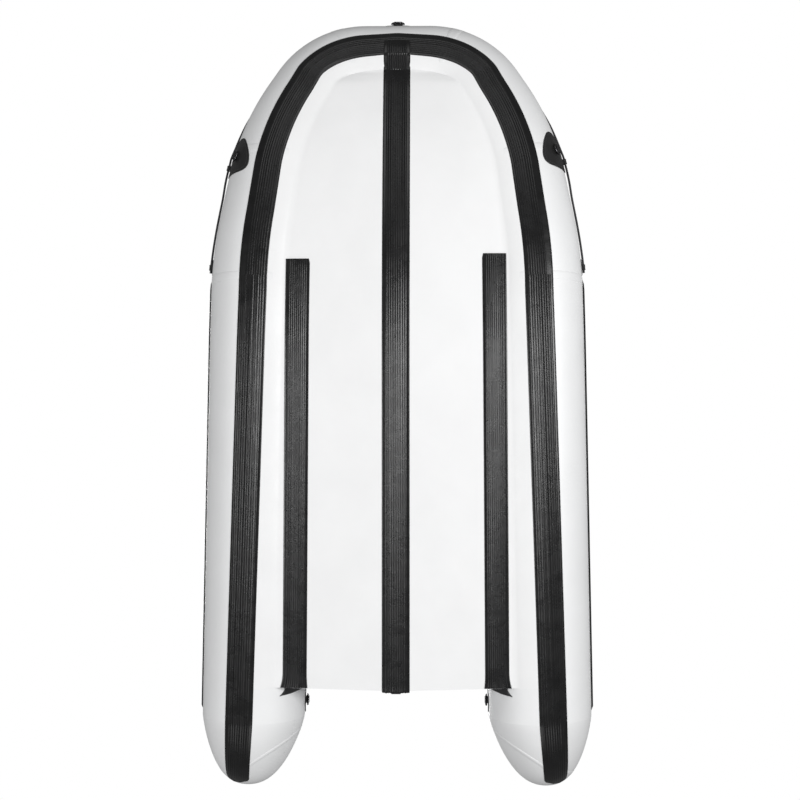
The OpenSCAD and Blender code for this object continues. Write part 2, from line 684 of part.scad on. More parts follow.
// ---- Grab lines ----
line_aft_deg = 92;
line_aft_run = run_at(bow_y - 835);
line_fore_run = half_run - 330;
line_fore_deg = 112;
module line_patches() {
    color(black) both_sides() {
        patch(line_aft_run, line_aft_deg, 30, 28, oval);
        on_tube(line_aft_run, line_aft_deg) eye(22);
        patch(line_fore_run, line_fore_deg, 30, 28, oval);
        on_tube(line_fore_run, line_fore_deg) eye(22);
    }
}

// The line runs from the after eye through the eye on the side patch to the eye at the bow
line_route = [
    [752.3, 494, 238.5], [750.8, 516, 241.3], [748.9, 538, 243], [740.5, 604, 248], [730, 672, 255], [718.5, 739, 266],
    [707.5, 799, 274], [698.5, 860, 281], [690, 908, 292.5], [686, 927, 298], [681.5, 947.5, 303.5],
    [677, 969, 310.5], [664, 1008, 328], [644.5, 1066, 355], [623, 1122, 386], [590, 1188, 422],
    [557, 1242, 459], [523, 1291, 491], [498, 1336, 509.5], [484, 1357.5, 516], [469.5, 1373, 522]];
line_sides = 8;
smooth_steps = 3;
function smooth(a, b, c, d, t) = 0.5 * (2 * b + (c - a) * t + (2 * a - 5 * b + 4 * c - d) * t * t
    + (3 * b - a - 3 * c + d) * t * t * t);
function smooth_route(pts) = let (last = len(pts) - 1) concat(
    [for (i = [0:last - 1], k = [0:smooth_steps - 1])
        smooth(pts[max(i - 1, 0)], pts[i], pts[i + 1], pts[min(i + 2, last)], k / smooth_steps)],
    [pts[last]]);
module cord(pts, r) {
    last = len(pts) - 1;
    loft([for (k = [0:last])
        let (t = unit(pts[min(k + 1, last)] - pts[max(k - 1, 0)]),
             a = unit(cross(t, [0, 0, 1])),
             d = -cross(a, t))
        [for (j = [0:line_sides - 1]) let (w = 360 * j / line_sides) pts[k] + r * (cos(w) * d + sin(w) * a)]]);
}
module grab_line(port) {
    color(black) side(port) cord(smooth_route(line_route), line_r);
}
module port_grab_line() { grab_line(true); }
module starboard_grab_line() { grab_line(false); }

// ---- Carry handles ----
plate_w = 44;
arch_r = 92;
arch_t = 8;
arch_w = 28;
arch_drop = 64;
handle_y = bench_y - 590;
module plate(len, t) {
    translate([0, 0, glue_gap]) linear_extrude(t) {
        square([len - plate_w, plate_w], center = true);
        for (x = [-1, 1]) translate([x * (len - plate_w) / 2, 0]) circle(r = plate_w / 2);
    }
}
module handle() {
    plate(190, patch_t);
    intersection() {
        translate([0, arch_w / 2, -arch_drop]) rotate([90, 0, 0]) difference() {
            cylinder(r = arch_r + arch_t, h = arch_w, $fn = 96);
            translate([0, 0, -1]) cylinder(r = arch_r, h = arch_w + 2, $fn = 96);
        }
        translate([-100, -50, patch_top]) cube([200, 100, 60]);
    }
}
module carry_handles() {
    color(black) {
        on_tube(half_run, 180) handle();
        both_sides() on_tube(run_at(handle_y), 180) handle();
    }
}

// ---- Valves ----
guide_r = 2.5;
seat_low = -32;
seat_top = -26;
flange_top = glue_gap + 4;
ear_y = 26;
ear_z = flange_top + 3.6;
pin_r = 1.5;
keel_valve_y = transom_front + 42;
floor_valve_x = 190;
floor_valve_y = floor_aft + 90;
module at_valve(which) {
    if (which == "port") side(true) on_tube(valve_run, valve_deg) children();
    if (which == "starboard") on_tube(valve_run, valve_deg) children();
    if (which == "bow") on_tube(bow_valve_run, valve_deg) children();
    if (which == "keel") translate([0, keel_valve_y, floor_z - part_gap]) rotate([0, 0, -90]) children();
    if (which == "floor") translate([floor_valve_x, floor_valve_y, floor_z + floor_t]) children();
}
module valve(which) {
    color(grey) at_valve(which) {
        rotate_extrude() polygon([
            [guide_r + turn_gap, seat_low], [pocket_r - part_gap, seat_low], [pocket_r - part_gap, glue_gap],
            [valve_flange_r, glue_gap], [valve_flange_r, flange_top], [valve_r, flange_top],
            [valve_r, seat_top], [guide_r + turn_gap, seat_top]]);
        for (x = [-9, 5]) translate([x, ear_y - 4, flange_top - 1]) cube([4, 8, 7]);
        translate([-9, ear_y, ear_z]) rotate([0, 90, 0]) cylinder(r = pin_r, h = 18);
    }
}
cap_low = flange_top + 0.4;
module valve_cap(which) {
    color(black) at_valve(which) difference() {
        union() {
            translate([0, 0, cap_low]) cylinder(r = 20, h = 4);
            translate([0, 0, cap_low + 4]) cylinder(r = 14, h = 3);
            translate([0, 0, cap_low - 3]) cylinder(r = valve_r - 2, h = 4);
            translate([-4, 17, cap_low]) cube([8, ear_y - 17, 3]);
            translate([-4, ear_y, ear_z]) rotate([0, 90, 0]) cylinder(r = 3, h = 8);
        }
        translate([-5, ear_y, ear_z]) rotate([0, 90, 0]) cylinder(r = pin_r + turn_gap, h = 10);
    }
}
module valve_plunger(which) {
    color("silver") at_valve(which) {
        translate([0, 0, seat_low - 3]) cylinder(r = guide_r, h = 27);
        translate([0, 0, -8]) cylinder(r = 8, h = 3);
        translate([0, 0, seat_low - 0.3 - 2.5]) cylinder(r = 9, h = 2.5);
    }
}
module port_valve() { valve("port"); }
module port_valve_cap() { valve_cap("port"); }
module port_valve_plunger() { valve_plunger("port"); }
module starboard_valve() { valve("starboard"); }
module starboard_valve_cap() { valve_cap("starboard"); }
module starboard_valve_plunger() { valve_plunger("starboard"); }
module bow_valve() { valve("bow"); }
module bow_valve_cap() { valve_cap("bow"); }
module bow_valve_plunger() { valve_plunger("bow"); }
module keel_valve() { valve("keel"); }
module keel_valve_cap() { valve_cap("keel"); }
module keel_valve_plunger() { valve_plunger("keel"); }
module floor_valve() { valve("floor"); }
module floor_valve_cap() { valve_cap("floor"); }
module floor_valve_plunger() { valve_plunger("floor"); }

// ---- Oarlocks ----
oar_y = bench_y - 300;
boss_top = 30;
horn_r = 26;
horn_wire = 5;
horn_z = boss_top + 6 + horn_r;
module at_oarlock(port) {
    side(port) on_tube(run_at(oar_y), 180) children();
}
module oarlock_base(port) {
    color(black) at_oarlock(port) {
        plate(120, 5);
        difference() {
            translate([0, 0, glue_gap + 4]) cylinder(r = 16, h = boss_top - glue_gap - 4);
            translate([0, 0, 8]) cylinder(r = oar_pin_r + turn_gap, h = boss_top);
        }
    }
}
module oarlock(port) {
    color(grey) at_oarlock(port) {
        translate([0, 0, 10]) cylinder(r = oar_pin_r, h = boss_top - 4);
        translate([0, 0, boss_top + wall_gap]) cylinder(r = 12, h = 5);
        translate([0, 0, horn_z]) rotate([90, 0, 0]) rotate([0, 0, -215])
            rotate_extrude(angle = 250) translate([horn_r, 0]) circle(r = horn_wire);
    }
}
module port_oarlock_base() { oarlock_base(true); }
module starboard_oarlock_base() { oarlock_base(false); }
module port_oarlock() { oarlock(true); }
module starboard_oarlock() { oarlock(false); }

// ---- Bench seat ----
bench_travel = 100;
bench_half = bench_len / 2;
tube_lean_x = lookup(run_at(bench_y + bench_w / 2 + bench_travel), plan_x);
bench_z = tube_z + sqrt(pow(tube_r, 2) - pow(max(0, tube_lean_x - bench_half), 2)) + 6;
track_in = bench_half - 42;
track_out = bench_half - 22;
track_half = bench_w / 2 + bench_travel + 15;
hook_t = 6;
hook_drop = 12;
slide_gap = 0.5;
function tube_top_z(x, y) = tube_z + glue_gap + sqrt(pow(tube_r, 2) - pow(lookup(run_at(y), plan_x) - x, 2));
module bench_tracks() {
    color(black) both_sides() loft([for (k = [0:6])
        let (y = bench_y - track_half + 2 * track_half * k / 6)
        [[track_in, y, tube_top_z(track_in, y)], [track_out, y, tube_top_z(track_out, y)],
         [track_out, y, bench_z - slide_gap], [track_in, y, bench_z - slide_gap]]]);
}
module bench_hook(x) {
    translate([x, bench_y - bench_w / 2 + 10, bench_z - hook_drop]) cube([hook_t, bench_w - 20, hook_drop]);
}
module bench_seat() {
    color([0.6, 0.6, 0.6]) {
        translate([-bench_half, bench_y - bench_w / 2, bench_z]) cube([bench_len, bench_w, bench_t]);
        both_sides() {
            bench_hook(track_in - slide_gap - hook_t);
            bench_hook(track_out + slide_gap);
        }
    }
}

port_chamber();
starboard_chamber();
bow_chamber();
port_tail_cone();
starboard_tail_cone();
chamber_baffles();
hull_bottom();
air_keel();
air_floor();
port_wear_strip();
starboard_wear_strip();
bow_wear_strip();
keel_strip();
port_runner();
starboard_runner();
port_rub_strake();
starboard_rub_strake();
transom_board();
transom_trim();
motor_pads();
pad_bolts();
port_transom_holder();
starboard_transom_holder();
drain_body();
drain_plug();
bow_patch();
tow_ring();
side_patches();
port_side_ring();
starboard_side_ring();
stern_patches();
port_stern_ring();
starboard_stern_ring();
line_patches();
port_grab_line();
starboard_grab_line();
carry_handles();
port_valve();
port_valve_cap();
port_valve_plunger();
starboard_valve();
starboard_valve_cap();
starboard_valve_plunger();
bow_valve();
bow_valve_cap();
bow_valve_plunger();
keel_valve();
keel_valve_cap();
keel_valve_plunger();
floor_valve();
floor_valve_cap();
floor_valve_plunger();
port_oarlock_base();
starboard_oarlock_base();
port_oarlock();
starboard_oarlock();
bench_tracks();
bench_seat();
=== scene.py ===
import math

import bmesh
import bpy
from mathutils import Matrix, Vector


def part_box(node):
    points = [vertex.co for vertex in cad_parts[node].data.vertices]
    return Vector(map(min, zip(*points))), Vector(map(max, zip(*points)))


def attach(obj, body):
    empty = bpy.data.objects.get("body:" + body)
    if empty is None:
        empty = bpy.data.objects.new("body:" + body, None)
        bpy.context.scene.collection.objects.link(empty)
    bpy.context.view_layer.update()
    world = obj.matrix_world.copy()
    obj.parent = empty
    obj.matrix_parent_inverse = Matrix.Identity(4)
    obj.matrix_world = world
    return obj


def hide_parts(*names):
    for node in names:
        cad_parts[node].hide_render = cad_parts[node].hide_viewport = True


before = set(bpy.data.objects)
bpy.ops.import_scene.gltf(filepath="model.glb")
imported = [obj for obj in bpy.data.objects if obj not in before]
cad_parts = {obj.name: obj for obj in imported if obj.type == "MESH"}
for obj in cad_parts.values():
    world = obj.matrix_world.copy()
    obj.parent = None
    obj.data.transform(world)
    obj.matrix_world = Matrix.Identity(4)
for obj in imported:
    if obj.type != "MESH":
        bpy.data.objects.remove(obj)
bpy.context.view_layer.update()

bl_info = {
    "name": "Inflatable Dinghy",
    "version": (1, 0, 0),
    "blender": (4, 5, 0),
    "location": "3D View > Sidebar > Dinghy",
    "description": "Dresses an inflatable dinghy, piece by piece, around its packed model",
    "category": "Object",
}

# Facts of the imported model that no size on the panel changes, in metres
GLUE = 0.0006
RING_REACH = 0.028
PATCH_TOP = 0.0036
THREAD_RADIUS = 0.0005
STERN_RUN = 0.054
SIDE_VALVE_FORE = 0.26
BOW_VALVE_BACK = 0.48
# Angles around the tube, outboard of its lowest line
TOW_ANGLE = math.radians(92)
SIDE_ANGLE = math.radians(62)
STERN_ANGLE = math.radians(-100)
VALVE_ANGLE = math.radians(240)
SIDES = ("port", "starboard")
VALVES = ("port", "starboard", "bow", "keel", "floor")


def metres(name, text, default):
    return bpy.props.FloatProperty(name=name, description=text, default=default, unit="LENGTH", precision=4)


def degrees(name, text, default):
    turn = math.radians(default)
    return bpy.props.FloatProperty(name=name, description=text, default=turn, subtype="ANGLE")


def count(name, text, default):
    return bpy.props.IntProperty(name=name, description=text, default=default, min=1)


def colour(name, text, default):
    return bpy.props.FloatVectorProperty(
        name=name, description=text, default=default, subtype="COLOR", min=0, max=1
    )


class BoatSizes(bpy.types.PropertyGroup):
    """The sizes of the boat's tube, bottom and strips"""

    length: metres("Length", "Overall length with the tow ring", 3.14)
    beam: metres("Beam", "Overall beam across the tubes at the tails", 1.56)
    tube: metres("Tube diameter", "Outside diameter of the tube", 0.41)
    tube_lean: metres("Tube lean", "How far each tube leans in from the tail to the shoulder", 0.038)
    bow_rise: metres("Bow rise", "Rise of the tube's centre line at the bow", 0.271)
    rise_back: metres("Rise start", "Distance from the nose back to where the bottom starts to rise", 1.397)
    cone_length: metres("Cone length", "Length of a tail cone", 0.292)
    cone_out: metres("Cone tip outboard", "How far a cone's tip stands outboard of the centre line", 0.022)
    cone_up: metres("Cone tip height", "How far a cone's tip stands above the centre line", 0.04)
    shoulder_back: metres("Shoulder", "Distance from the nose back to the shoulder", 0.989)
    cheek_back: metres("Cheek", "Distance from the nose back to the cheek", 0.514)
    cheek_in: metres("Cheek inset", "How far the cheek lies inboard of the shoulder", 0.088)
    bow_half: metres("Bow half width", "Half width of the bow's cross piece", 0.26)
    shoulder_radius: metres("Shoulder radius", "Radius of the centre line at the shoulder", 1.65)
    cheek_radius: metres("Cheek radius", "Radius of the centre line at the cheek", 0.88)
    corner_radius: metres("Corner radius", "Radius of the centre line at the corner of the bow", 0.228)
    strip_width: metres("Wear strip width", "Width of the wear strip under the tube", 0.112)
    keel_width: metres("Keel strip width", "Width of the keel strip", 0.108)
    runner_width: metres("Runner width", "Width of a bottom runner", 0.094)
    runner_length: metres("Runner length", "Length of the port runner", 1.68)
    strip_thick: metres("Strip thickness", "Thickness of every ribbed strip", 0.004)
    sheet_angle: degrees("Sheet angle", "Angle inboard of the tube's lowest line where the bottom leaves it", 30)
    transom_from_tail: metres("Transom place", "Distance from the tail tips to the transom's aft face", 0.437)
    transom_thick: metres("Transom thickness", "Thickness of the transom board", 0.027)
    floor_low: metres("Floor height", "Height of the underside of the air floor", 0.092)
    floor_thick: metres("Floor thickness", "Thickness of the air floor", 0.06)
    floor_length: metres("Floor length", "Length of the air floor", 1.73)
    keel_height: metres("Air keel height", "Height of the air keel", 0.08)
    line_diameter: metres("Line diameter", "Diameter of a grab line", 0.009)
    tube_sides: count("Tube sides", "Faces around a tube", 96)
    rib_count: count("Ribs", "Number of ribs on a ribbed strip", 9)
    rib_height: metres("Rib height", "How far a rib stands above its strip", 0.002)


class BoatColours(bpy.types.PropertyGroup):
    """The colours of the boat's materials"""

    tube: colour("Tube", "Coated fabric of the tubes", (0.86, 0.865, 0.87))
    bottom: colour("Bottom", "Coated fabric of the bottom sheet", (0.87, 0.872, 0.875))
    strip: colour("Strips", "Rubber of the wear strips, keel strip and runners", (0.006, 0.006, 0.0063))
    patch: colour("Patches", "Fabric of the patches and handles", (0.011, 0.011, 0.0115))
    plastic: colour("Plastic", "Moulded plastic of the holders, pads and caps", (0.014, 0.014, 0.015))
    floor: colour("Floor", "Coated fabric of the air floor", (0.46, 0.48, 0.5))
    rope: colour("Rope", "Braid of the grab lines", (0.02, 0.02, 0.022))
    paint: colour("Transom", "Paint of the transom board", (0.42, 0.43, 0.44))
    wood: colour("Bench", "Varnished plywood of the bench", (0.42, 0.25, 0.12))


def sizes():
    return bpy.context.scene.dinghy_sizes


def colours():
    return bpy.context.scene.dinghy_colours


# ---- Lines and surfaces of the hull ----
def fillet(a, b, c, radius):
    """The points of a corner at b between a and c, rounded to the radius."""
    steps = 24
    u, v = (a - b).normalized(), (c - b).normalized()
    half = math.acos(max(-1, min(1, u.dot(v)))) / 2
    start = b + u * radius / math.tan(half)
    middle = b + (u + v).normalized() * radius / math.sin(half)
    arm = start - middle
    turn = math.pi - 2 * half
    return [middle + Matrix.Rotation(turn * k / steps, 2) @ arm for k in range(steps + 1)]


def between(table, key):
    """Straight-line lookup in a sorted table of (key, value)."""
    if key <= table[0][0]:
        return table[0][1]
    low, high = 0, len(table) - 1
    if key >= table[high][0]:
        return table[high][1]
    while high - low > 1:
        middle = (low + high) // 2
        if table[middle][0] <= key:
            low = middle
        else:
            high = middle
    (k0, v0), (k1, v1) = table[low], table[high]
    return v0 + (v1 - v0) * (key - k0) / (k1 - k0)


class Hull:
    """The tube's centre line, and the surfaces of the tube, the cones and the bottom."""

    def __init__(self, size):
        self.size = size
        self.radius = size.tube / 2
        self.strip_low = self.radius + GLUE
        self.strip_top = self.strip_low + size.strip_thick
        self.height = self.radius + GLUE + size.strip_thick
        self.nose_y = size.length / 2 - RING_REACH
        self.tail_y = -size.length / 2
        self.bow_y = self.nose_y - self.radius
        self.rise_y = self.nose_y - size.rise_back
        self.transom_y = self.tail_y + size.transom_from_tail
        self.transom_front = self.transom_y + size.transom_thick
        seam = Vector((size.beam / 2 - self.radius, self.tail_y + size.cone_length))
        shoulder = Vector((seam.x - size.tube_lean, self.nose_y - size.shoulder_back))
        cheek = Vector((shoulder.x - size.cheek_in, self.nose_y - size.cheek_back))
        corner = Vector((size.bow_half, self.bow_y))
        half = [seam] + fillet(seam, shoulder, cheek, size.shoulder_radius)
        half += fillet(shoulder, cheek, corner, size.cheek_radius)
        half += fillet(cheek, corner, Vector((0, self.bow_y)), size.corner_radius)
        plan = half + [Vector((-p.x, p.y)) for p in reversed(half)]
        run = 0
        self.plan_x, self.plan_y = [(0, plan[0].x)], [(0, plan[0].y)]
        for a, b in zip(plan, plan[1:]):
            run += (b - a).length
            self.plan_x.append((run, b.x))
            self.plan_y.append((run, b.y))
        self.full_run = run
        self.half_run = run / 2
        stops = int((self.half_run - 0.12) / 0.01)
        self.runs = [(between(self.plan_y, 0.01 * k), 0.01 * k) for k in range(stops)]
        self.baffle_run = self.run_at(self.bow_y - 0.889)
        self.turn_run = self.run_at(self.bow_y - 0.95)
        self.wear_half = size.strip_width / 2 / self.radius
        edge = [self.half_run * k / 240 for k in range(240)]
        points = [self.skin(s, self.sheet_turn(s), self.radius + GLUE + 0.003) for s in edge]
        self.edge_x = [(p.y, p.x) for p in points]
        self.edge_z = [(p.y, p.z) for p in points]

    def run_at(self, y):
        return between(self.runs, y)

    def rise(self, y):
        return self.size.bow_rise * (max(0, y - self.rise_y) / (self.bow_y - self.rise_y)) ** 2

    def axis(self, run):
        y = between(self.plan_y, run)
        return Vector((between(self.plan_x, run), y, self.height + self.rise(y)))

    def along(self, run):
        reach = 0.012
        return (self.axis(min(run + reach, self.full_run)) - self.axis(max(run - reach, 0))).normalized()

    def outward(self, run):
        return self.along(run).cross(Vector((0, 0, 1))).normalized()

    def under(self, run):
        return -self.outward(run).cross(self.along(run))

    def away(self, run, angle):
        """The direction out of the tube at an angle outboard of its lowest line."""
        return self.under(run) * math.cos(angle) + self.outward(run) * math.sin(angle)

    def skin(self, run, angle, radius):
        return self.axis(run) + self.away(run, angle) * radius

    def on_tube(self, run, angle, port=False):
        """A frame on the tube's skin: X along the tube, Z out of it."""
        out, fore = self.away(run, angle), self.along(run)
        side = out.cross(fore)
        place = self.axis(run) + out * self.radius
        grid = Matrix((fore, side, out)).transposed().to_4x4()
        grid.translation = place
        return MIRROR @ grid if port else grid

    def wear_angle(self, run):
        """Middle of the wear strip, outboard of the tube's lowest line."""
        if run < self.turn_run:
            return math.radians(11 - 6 * run / self.turn_run)
        share = (min(run, self.full_run - run) - self.turn_run) / (self.half_run - self.turn_run)
        return math.radians(5 + 25 * share**1.5)

    def sheet_turn(self, run):
        """Angle at which the bottom sheet leaves the tube."""
        share = max(0, (run - self.turn_run) / (self.half_run - self.turn_run))
        return -self.size.sheet_angle * (1 - share**1.3 * 0.92)

    def keel_z(self, y):
        return GLUE + self.size.strip_thick + self.rise(y)

    def low_z(self, x, y):
        """Height of the bottom's underside, a shallow V rounded at the keel."""
        share = min(1, math.hypot(x, 0.03) / max(between(self.edge_x, y), 0.03))
        return self.keel_z(y) + (between(self.edge_z, y) - self.keel_z(y)) * share

    def cone_radius(self, u):
        return self.radius * (1 - max(0, u) ** 1.2) ** 0.4

    def cone_skin(self, u, angle, radius):
        centre = self.axis(0) - self.along(0) * (self.size.cone_length * u + 0.0003)
        past = max(0, u)
        rise = Vector((0, 0, self.size.cone_up * past**1.5))
        centre += self.outward(0) * self.size.cone_out * past**1.2 + rise
        return centre + radius * (math.cos(angle) * self.under(0) + math.sin(angle) * self.outward(0))


MIRROR = Matrix.Scale(-1, 4, (1, 0, 0))


def mirrored(points, port):
    return [Vector((-p[0], p[1], p[2])) for p in points] if port else [Vector(p) for p in points]


# ---- Making a mesh ----
class Shape:
    """Points and faces of one piece, gathered from several solids."""

    def __init__(self, port=False):
        self.points, self.faces, self.port = [], [], port

    def add(self, points, faces, place=None):
        first = len(self.points)
        for p in points:
            p = place @ Vector(p) if place else Vector(p)
            self.points.append(Vector((-p.x, p.y, p.z)) if self.port else p)
        self.faces += [[first + i for i in face] for face in faces]

    def loft(self, rings, place=None, closed=True, caps=True):
        """Faces through rings of the same number of points, closed around and at the ends."""
        n, last = len(rings[0]), len(rings) - 1
        faces = [
            [i * n + j, i * n + (j + 1) % n, (i + 1) * n + (j + 1) % n, (i + 1) * n + j]
            for i in range(last)
            for j in range(n if closed else n - 1)
        ]
        if caps and closed:
            faces += [list(range(n))[::-1], [last * n + j for j in range(n)]]
        self.add([p for ring in rings for p in ring], faces, place)

    def turned(self, profile, place, sides=32):
        """A closed profile of (radius, height) turned about Z."""
        rings = []
        for k in range(sides):
            a = math.tau * k / sides
            rings.append([(r * math.cos(a), r * math.sin(a), z) for r, z in profile])
        self.loft(rings + rings[:1], place, caps=False)

    def block(self, low, high, place=None, edge=0.0):
        """A box between two corners with its upright edges chamfered."""
        (x0, y0, z0), (x1, y1, z1) = low, high
        e = min(edge, (x1 - x0) / 2.1, (y1 - y0) / 2.1)
        ring = [(x0 + e, y0), (x1 - e, y0), (x1, y0 + e), (x1, y1 - e)]
        ring += [(x1 - e, y1), (x0 + e, y1), (x0, y1 - e), (x0, y0 + e)]
        if e == 0:
            ring = [(x0, y0), (x1, y0), (x1, y1), (x0, y1)]
        self.loft([[(x, y, z) for x, y in ring] for z in (z0, z1)], place)

    def mesh(self, name, angle=35, merge=1e-5):
        data = bpy.data.meshes.new(name)
        data.from_pydata([tuple(p) for p in self.points], [], self.faces)
        work = bmesh.new()
        work.from_mesh(data)
        bmesh.ops.remove_doubles(work, verts=work.verts, dist=merge)
        bmesh.ops.dissolve_degenerate(work, edges=work.edges, dist=1e-7)
        bmesh.ops.recalc_face_normals(work, faces=work.faces)
        work.to_mesh(data)
        work.free()
        data.shade_smooth()
        data.set_sharp_from_angle(angle=math.radians(angle))
        return data


def shown(name, data, *materials):
    """Puts a mesh into the scene as an object at the origin."""
    obj = bpy.data.objects.new(name, data)
    bpy.context.scene.collection.objects.link(obj)
    data.materials.clear()
    for m in materials:
        data.materials.append(m)
    return obj


def softened(obj, width, thickness=None):
    """The same object with its edges rounded, or a surface given a thickness."""
    if thickness:
        solid = obj.modifiers.new("Thickness", "SOLIDIFY")
        solid.thickness = thickness
        solid.offset = -1
        solid.use_even_offset = True
    if width:
        bevel = obj.modifiers.new("Edges", "BEVEL")
        bevel.width = width
        bevel.segments = 2
        bevel.limit_method = "ANGLE"
        bevel.angle_limit = math.radians(40)
        bevel.harden_normals = True
    return flattened(obj)


def flattened(obj):
    """The object with its modifiers made into its mesh."""
    graph = bpy.context.evaluated_depsgraph_get()
    graph.update()
    data = bpy.data.meshes.new_from_object(obj.evaluated_get(graph), depsgraph=graph)
    materials = list(obj.data.materials)
    obj.modifiers.clear()
    obj.data = data
    if not len(data.materials):
        for m in materials:
            data.materials.append(m)
    return obj


def settle(obj, body, slot, *nodes):
    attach(obj, body)
    if nodes:
        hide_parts(*nodes)
    return obj


def piece(name, shape, material, slot, *nodes, body="hull", angle=45, merge=1e-5):
    """Makes a shape into a piece of the boat that stands for the named nodes."""
    return settle(shown(name, shape.mesh(name, angle, merge), material), body, slot, *nodes)


def side_name(port):
    return SIDES[0 if port else 1]


def repaint(material, *names):
    """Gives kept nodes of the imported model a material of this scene."""
    for name in names:
        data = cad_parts[name].data
        data.materials.clear()
        data.materials.append(material)


# ---- Materials ----
class Surface:
    """Builds one procedural material on object coordinates."""

    def __init__(self, name):
        self.material = bpy.data.materials.new(name)
        self.material.use_nodes = True
        self.nodes = self.material.node_tree.nodes
        self.links = self.material.node_tree.links
        self.shader = self.nodes["Principled BSDF"]
        self.coords = self.nodes.new("ShaderNodeTexCoord").outputs["Object"]
        self.height = None

    def link(self, a, b):
        self.links.new(a, b)

    def noise(self, scale, detail=4.0, rough=0.55, stretch=(1, 1, 1)):
        node = self.nodes.new("ShaderNodeTexNoise")
        node.inputs["Scale"].default_value = scale
        node.inputs["Detail"].default_value = detail
        node.inputs["Roughness"].default_value = rough
        return self.placed(node, "Scale", stretch)

    def wave(self, scale, direction, turn=(0, 0, 0)):
        node = self.nodes.new("ShaderNodeTexWave")
        node.bands_direction = direction
        node.inputs["Scale"].default_value = scale
        return self.placed(node, "Rotation", turn)

    def placed(self, node, setting, value):
        """A texture on the object's coordinates, stretched or turned."""
        place = self.nodes.new("ShaderNodeMapping")
        place.inputs[setting].default_value = value
        self.link(self.coords, place.inputs["Vector"])
        self.link(place.outputs["Vector"], node.inputs["Vector"])
        return node.outputs["Fac"]

    def spread(self, value, low, high, start=0.3, end=0.7):
        node = self.nodes.new("ShaderNodeMapRange")
        node.inputs["From Min"].default_value = start
        node.inputs["From Max"].default_value = end
        node.inputs["To Min"].default_value = low
        node.inputs["To Max"].default_value = high
        self.link(value, node.inputs["Value"])
        return node.outputs["Result"]

    def maths(self, operation, a, b):
        node = self.nodes.new("ShaderNodeMath")
        node.operation = operation
        for socket, value in zip(node.inputs, (a, b)):
            if isinstance(value, (int, float)):
                socket.default_value = value
            else:
                self.link(value, socket)
        return node.outputs["Value"]

    def mixed(self, factor, dark, light):
        node = self.nodes.new("ShaderNodeMix")
        node.data_type = "RGBA"
        self.link(factor, node.inputs["Factor"])
        for socket, value in ((node.inputs["A"], dark), (node.inputs["B"], light)):
            if isinstance(value, tuple):
                socket.default_value = value
            else:
                self.link(value, socket)
        return node.outputs["Result"]

    def base(self, rgb, change, value):
        """The colour, shifted lighter and darker by a share where a texture says so."""
        dark = tuple(max(0, c * (1 - change)) for c in rgb) + (1,)
        light = tuple(min(1, c * (1 + change)) for c in rgb) + (1,)
        result = self.mixed(self.spread(value, 0, 1), dark, light)
        self.link(result, self.shader.inputs["Base Color"])
        return result

    def relief(self, value, height):
        """Adds a texture to the surface relief, its full height in metres."""
        node = self.nodes.new("ShaderNodeBump")
        node.inputs["Strength"].default_value = 1.0
        node.inputs["Distance"].default_value = height
        self.link(value, node.inputs["Height"])
        if self.height:
            self.link(self.height, node.inputs["Normal"])
        self.height = node.outputs["Normal"]
        self.link(self.height, self.shader.inputs["Normal"])

    def gloss(self, low, high, value):
        self.link(self.spread(value, low, high), self.shader.inputs["Roughness"])

    def set(self, **values):
        for name, value in values.items():
            self.shader.inputs[name.replace("_", " ")].default_value = value
        return self


MATERIALS = {}


def coated_fabric(name, rgb, low=0.36, high=0.5, slack=0.0012):
    """PVC-coated cloth: satin, with the cloth just showing and soft unevenness."""
    s = Surface(name)
    s.base(rgb, 0.018, s.noise(5, 5))
    s.relief(s.noise(9, 2, 0.4), slack)
    s.relief(s.noise(38, 2, 0.4), 0.00012)
    s.relief(s.maths("MULTIPLY", s.wave(420, "X"), s.wave(420, "Y")), 0.00003)
    s.gloss(low, high, s.noise(14, 5))
    s.set(Specular_IOR_Level=0.42)
    return s.material


def strip_rubber(name, rgb):
    """Black extruded rubber, a little dusty, with drawing lines."""
    s = Surface(name)
    s.base(rgb, 0.35, s.noise(18, 6))
    s.relief(s.noise(22, 3, 0.45), 0.0009)
    s.relief(s.noise(240, 2), 0.00002)
    s.gloss(0.22, 0.34, s.noise(16, 4))
    s.set(Specular_IOR_Level=0.42)
    return s.material


def webbing(name, rgb, scale=260):
    """Woven black tape and reinforced patch fabric."""
    s = Surface(name)
    weave = s.maths("ADD", s.wave(scale, "X", (0, 0, 0.6)), s.wave(scale, "Y", (0.4, 0, 0.6)))
    s.base(rgb, 0.3, s.noise(40, 4))
    s.relief(weave, 0.00008)
    s.relief(s.noise(30, 3), 0.0004)
    s.gloss(0.42, 0.6, s.noise(30, 4))
    return s.material


def moulding(name, rgb, low=0.32, high=0.45):
    """Injection-moulded plastic with a fine spark-eroded grain."""
    s = Surface(name)
    s.base(rgb, 0.15, s.noise(30, 4))
    s.relief(s.noise(900, 2), 0.00003)
    s.relief(s.noise(60, 3), 0.00012)
    s.gloss(low, high, s.noise(45, 4))
    return s.material


def steel(name, rgb):
    """Drawn stainless steel, lightly scratched."""
    s = Surface(name)
    s.base(rgb, 0.06, s.noise(60, 5))
    s.relief(s.noise(500, 4, 0.6, (1, 0.15, 1)), 0.00003)
    s.gloss(0.16, 0.3, s.noise(120, 6, 0.6, (1, 0.2, 1)))
    s.set(Metallic=1.0)
    return s.material


def braid(name, rgb):
    """Polyester braid with light flecks."""
    s = Surface(name)
    s.base(rgb, 0.5, s.noise(600, 3))
    s.relief(s.noise(900, 2), 0.00015)
    s.gloss(0.5, 0.75, s.noise(300, 3))
    return s.material


